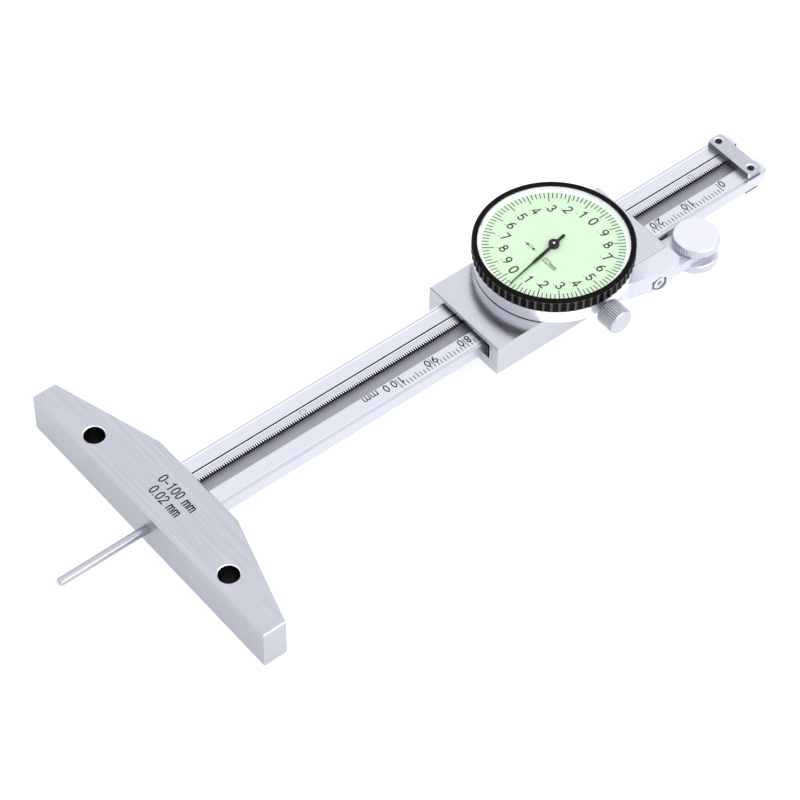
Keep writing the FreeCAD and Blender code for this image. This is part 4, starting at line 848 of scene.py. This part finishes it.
class GAUGE_OT_beam_scale(bpy.types.Operator):
    """Lines and figures of the beam's millimetre scale"""
    bl_idname = "gauge.beam_scale"
    bl_label = "Beam scale"

    def execute(self, context):
        sizes = context.scene.gauge_scale
        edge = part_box("slider_body")[1].y
        zero = edge + READING
        low = SCALE_PLANE + LIFT
        high = low + INK
        sheet = bmesh.new()
        for step in range(101):
            long = sizes.short_line
            if step % 5 == 0:
                long = sizes.middle_line if step % 10 else sizes.long_line
            y = zero - step * MM
            start, end = Vector((sizes.line_edge - long, y)), Vector((sizes.line_edge, y))
            add_slab(sheet, bar_faces(start, end, sizes.line_width), low, high)
        ink = satin_paint("scale_ink", context.scene.gauge_colours.print, rough=0.5)
        link_mesh("beam_lines", finished(sheet, "beam_lines"), ink, "frame")
        sheet = bmesh.new()
        across = sizes.figure_low + sizes.figure_high / 2
        apart = sizes.figure_apart
        for step in range(0, 101, 10):
            word = str(step)
            y = zero - step * MM
            spots = [(word, 1.1 * apart)] if step == 0 else [(word[0], apart), (word[1:], -apart)]
            if step == 100:
                spots = [("1", apart), ("0", -apart), ("0", -3.1 * apart)]
                add_words(sheet, "mm", Vector((across - UNIT_IN, y - UNIT_ON)), -math.pi / 2,
                          sizes.figure_high, low, weight=0.13, narrow=1.3)
            for figure, shift in spots:
                add_words(sheet, figure, Vector((across, y + shift)), -math.pi / 2, sizes.figure_high, low,
                          weight=0.155)
        link_mesh("beam_figures", finished(sheet, "beam_figures"), ink, "frame")
        return {"FINISHED"}


class GAUGE_OT_base_marks(bpy.types.Operator):
    """Plain range and resolution on the base"""
    bl_idname = "gauge.base_marks"
    bl_label = "Base marks"

    def execute(self, context):
        sheet = bmesh.new()
        for words, y in BASE_WORDS:
            add_words(sheet, words, Vector((BASE_WORDS_X, y)), 0.0, BASE_WORDS_HIGH, BASE_TOP + LIFT,
                      weight=0.135, narrow=0.85)
        ink = satin_paint("base_ink", context.scene.gauge_colours.print, rough=0.5)
        link_mesh("base_figures", finished(sheet, "base_figures"), ink, "frame")
        return {"FINISHED"}


class GAUGE_OT_dial_print(bpy.types.Operator):
    """Lines, figures, dots and marks of the dial"""
    bl_idname = "gauge.dial_print"
    bl_label = "Dial print"

    def execute(self, context):
        sizes = context.scene.gauge_dial
        centre = middle("dial_face").to_2d()
        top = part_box("dial_face")[1].z
        low = top + LIFT
        high = low + INK
        lines = bmesh.new()
        figures = bmesh.new()
        for step in range(100):
            angle = -math.pi / 2 + 2 * math.pi * step / 100
            out = Vector((math.cos(angle), math.sin(angle)))
            long = sizes.long_line if step % 5 == 0 else sizes.short_line
            line = bar_faces(centre + out * (sizes.line_radius - long), centre + out * sizes.line_radius,
                             sizes.line_width)
            add_slab(lines, line, low, high)
            if step % 5:
                continue
            digit = (step // 5) % 10
            spot = centre + out * sizes.figure_radius
            if digit:
                spot += DIGIT_SHIFT
                add_slab(figures, disc_faces(spot + DOT_SHIFT, DOT_RADIUS), low, high)
            size = sizes.figure_high * (1.0 if digit else NOUGHT_SHARE)
            add_words(figures, str(digit), spot, 0.0, size, low, weight=0.15)
        ink = satin_paint("dial_ink", context.scene.gauge_colours.dial_print, rough=0.5)
        link_mesh("dial_lines", finished(lines, "dial_lines"), ink, "bezel")
        link_mesh("dial_figures", finished(figures, "dial_figures"), ink, "bezel")
        marks = bmesh.new()
        self.add_arrows(marks, centre + ARROWS_SHIFT, low, high)
        add_words(marks, "0.02mm", centre + DIVISION_SHIFT, 0.0, DIVISION_HIGH, low, weight=0.13)
        link_mesh("dial_marks", finished(marks, "dial_marks"), ink, "bezel")
        return {"FINISHED"}

    def add_arrows(self, sheet, place, low, high):
        """Two arrows that point at a pair of short lines: the step of one division."""
        for side in (-1, 1):
            line = place + Vector((side * 0.28, 0)) * MM
            tip = line + Vector((side * 0.12, 0)) * MM
            wing = Vector((side * 0.90, 0)) * MM
            rise = Vector((0, 0.46 * side)) * MM
            half = Vector((0, 0.65)) * MM
            add_slab(sheet, bar_faces(line - half, line + half, 0.13 * MM), low, high)
            add_slab(sheet, [[tip, tip + wing - rise, tip + wing + rise]], low, high)
            add_slab(sheet, bar_faces(tip + wing, tip + wing * 1.9, 0.13 * MM), low, high)


class GAUGE_PT_panel(bpy.types.Panel):
    """Sizes, colours and steps of the depth gauge"""
    bl_label = "Dial depth gauge"
    bl_idname = "GAUGE_PT_panel"
    bl_space_type = "VIEW_3D"
    bl_region_type = "UI"
    bl_category = "Depth gauge"

    def draw(self, context):
        scene = context.scene
        for group in (scene.gauge_scale, scene.gauge_dial, scene.gauge_colours):
            box = self.layout.box()
            for name in group.__annotations__:
                box.prop(group, name)
        for step in STEPS:
            self.layout.operator(step.bl_idname)


GROUPS = {"gauge_scale": GaugeScaleSizes, "gauge_dial": GaugeDialSizes, "gauge_colours": GaugeColours}
STEPS = (GAUGE_OT_stage, GAUGE_OT_frame_finish, GAUGE_OT_slider_finish, GAUGE_OT_dial_finish,
         GAUGE_OT_beam_scale, GAUGE_OT_base_marks, GAUGE_OT_dial_print)


def register():
    for made in (*GROUPS.values(), *STEPS, GAUGE_PT_panel):
        bpy.utils.register_class(made)
    for name, group in GROUPS.items():
        setattr(bpy.types.Scene, name, bpy.props.PointerProperty(type=group))


def unregister():
    for name in GROUPS:
        delattr(bpy.types.Scene, name)
    for made in reversed((*GROUPS.values(), *STEPS, GAUGE_PT_panel)):
        bpy.utils.unregister_class(made)


def main():
    register()
    bpy.ops.gauge.stage()
    bpy.ops.gauge.frame_finish()
    bpy.ops.gauge.slider_finish()
    bpy.ops.gauge.dial_finish()
    bpy.ops.gauge.beam_scale()
    bpy.ops.gauge.base_marks()
    bpy.ops.gauge.dial_print()


if __name__ == "__main__":
    main()
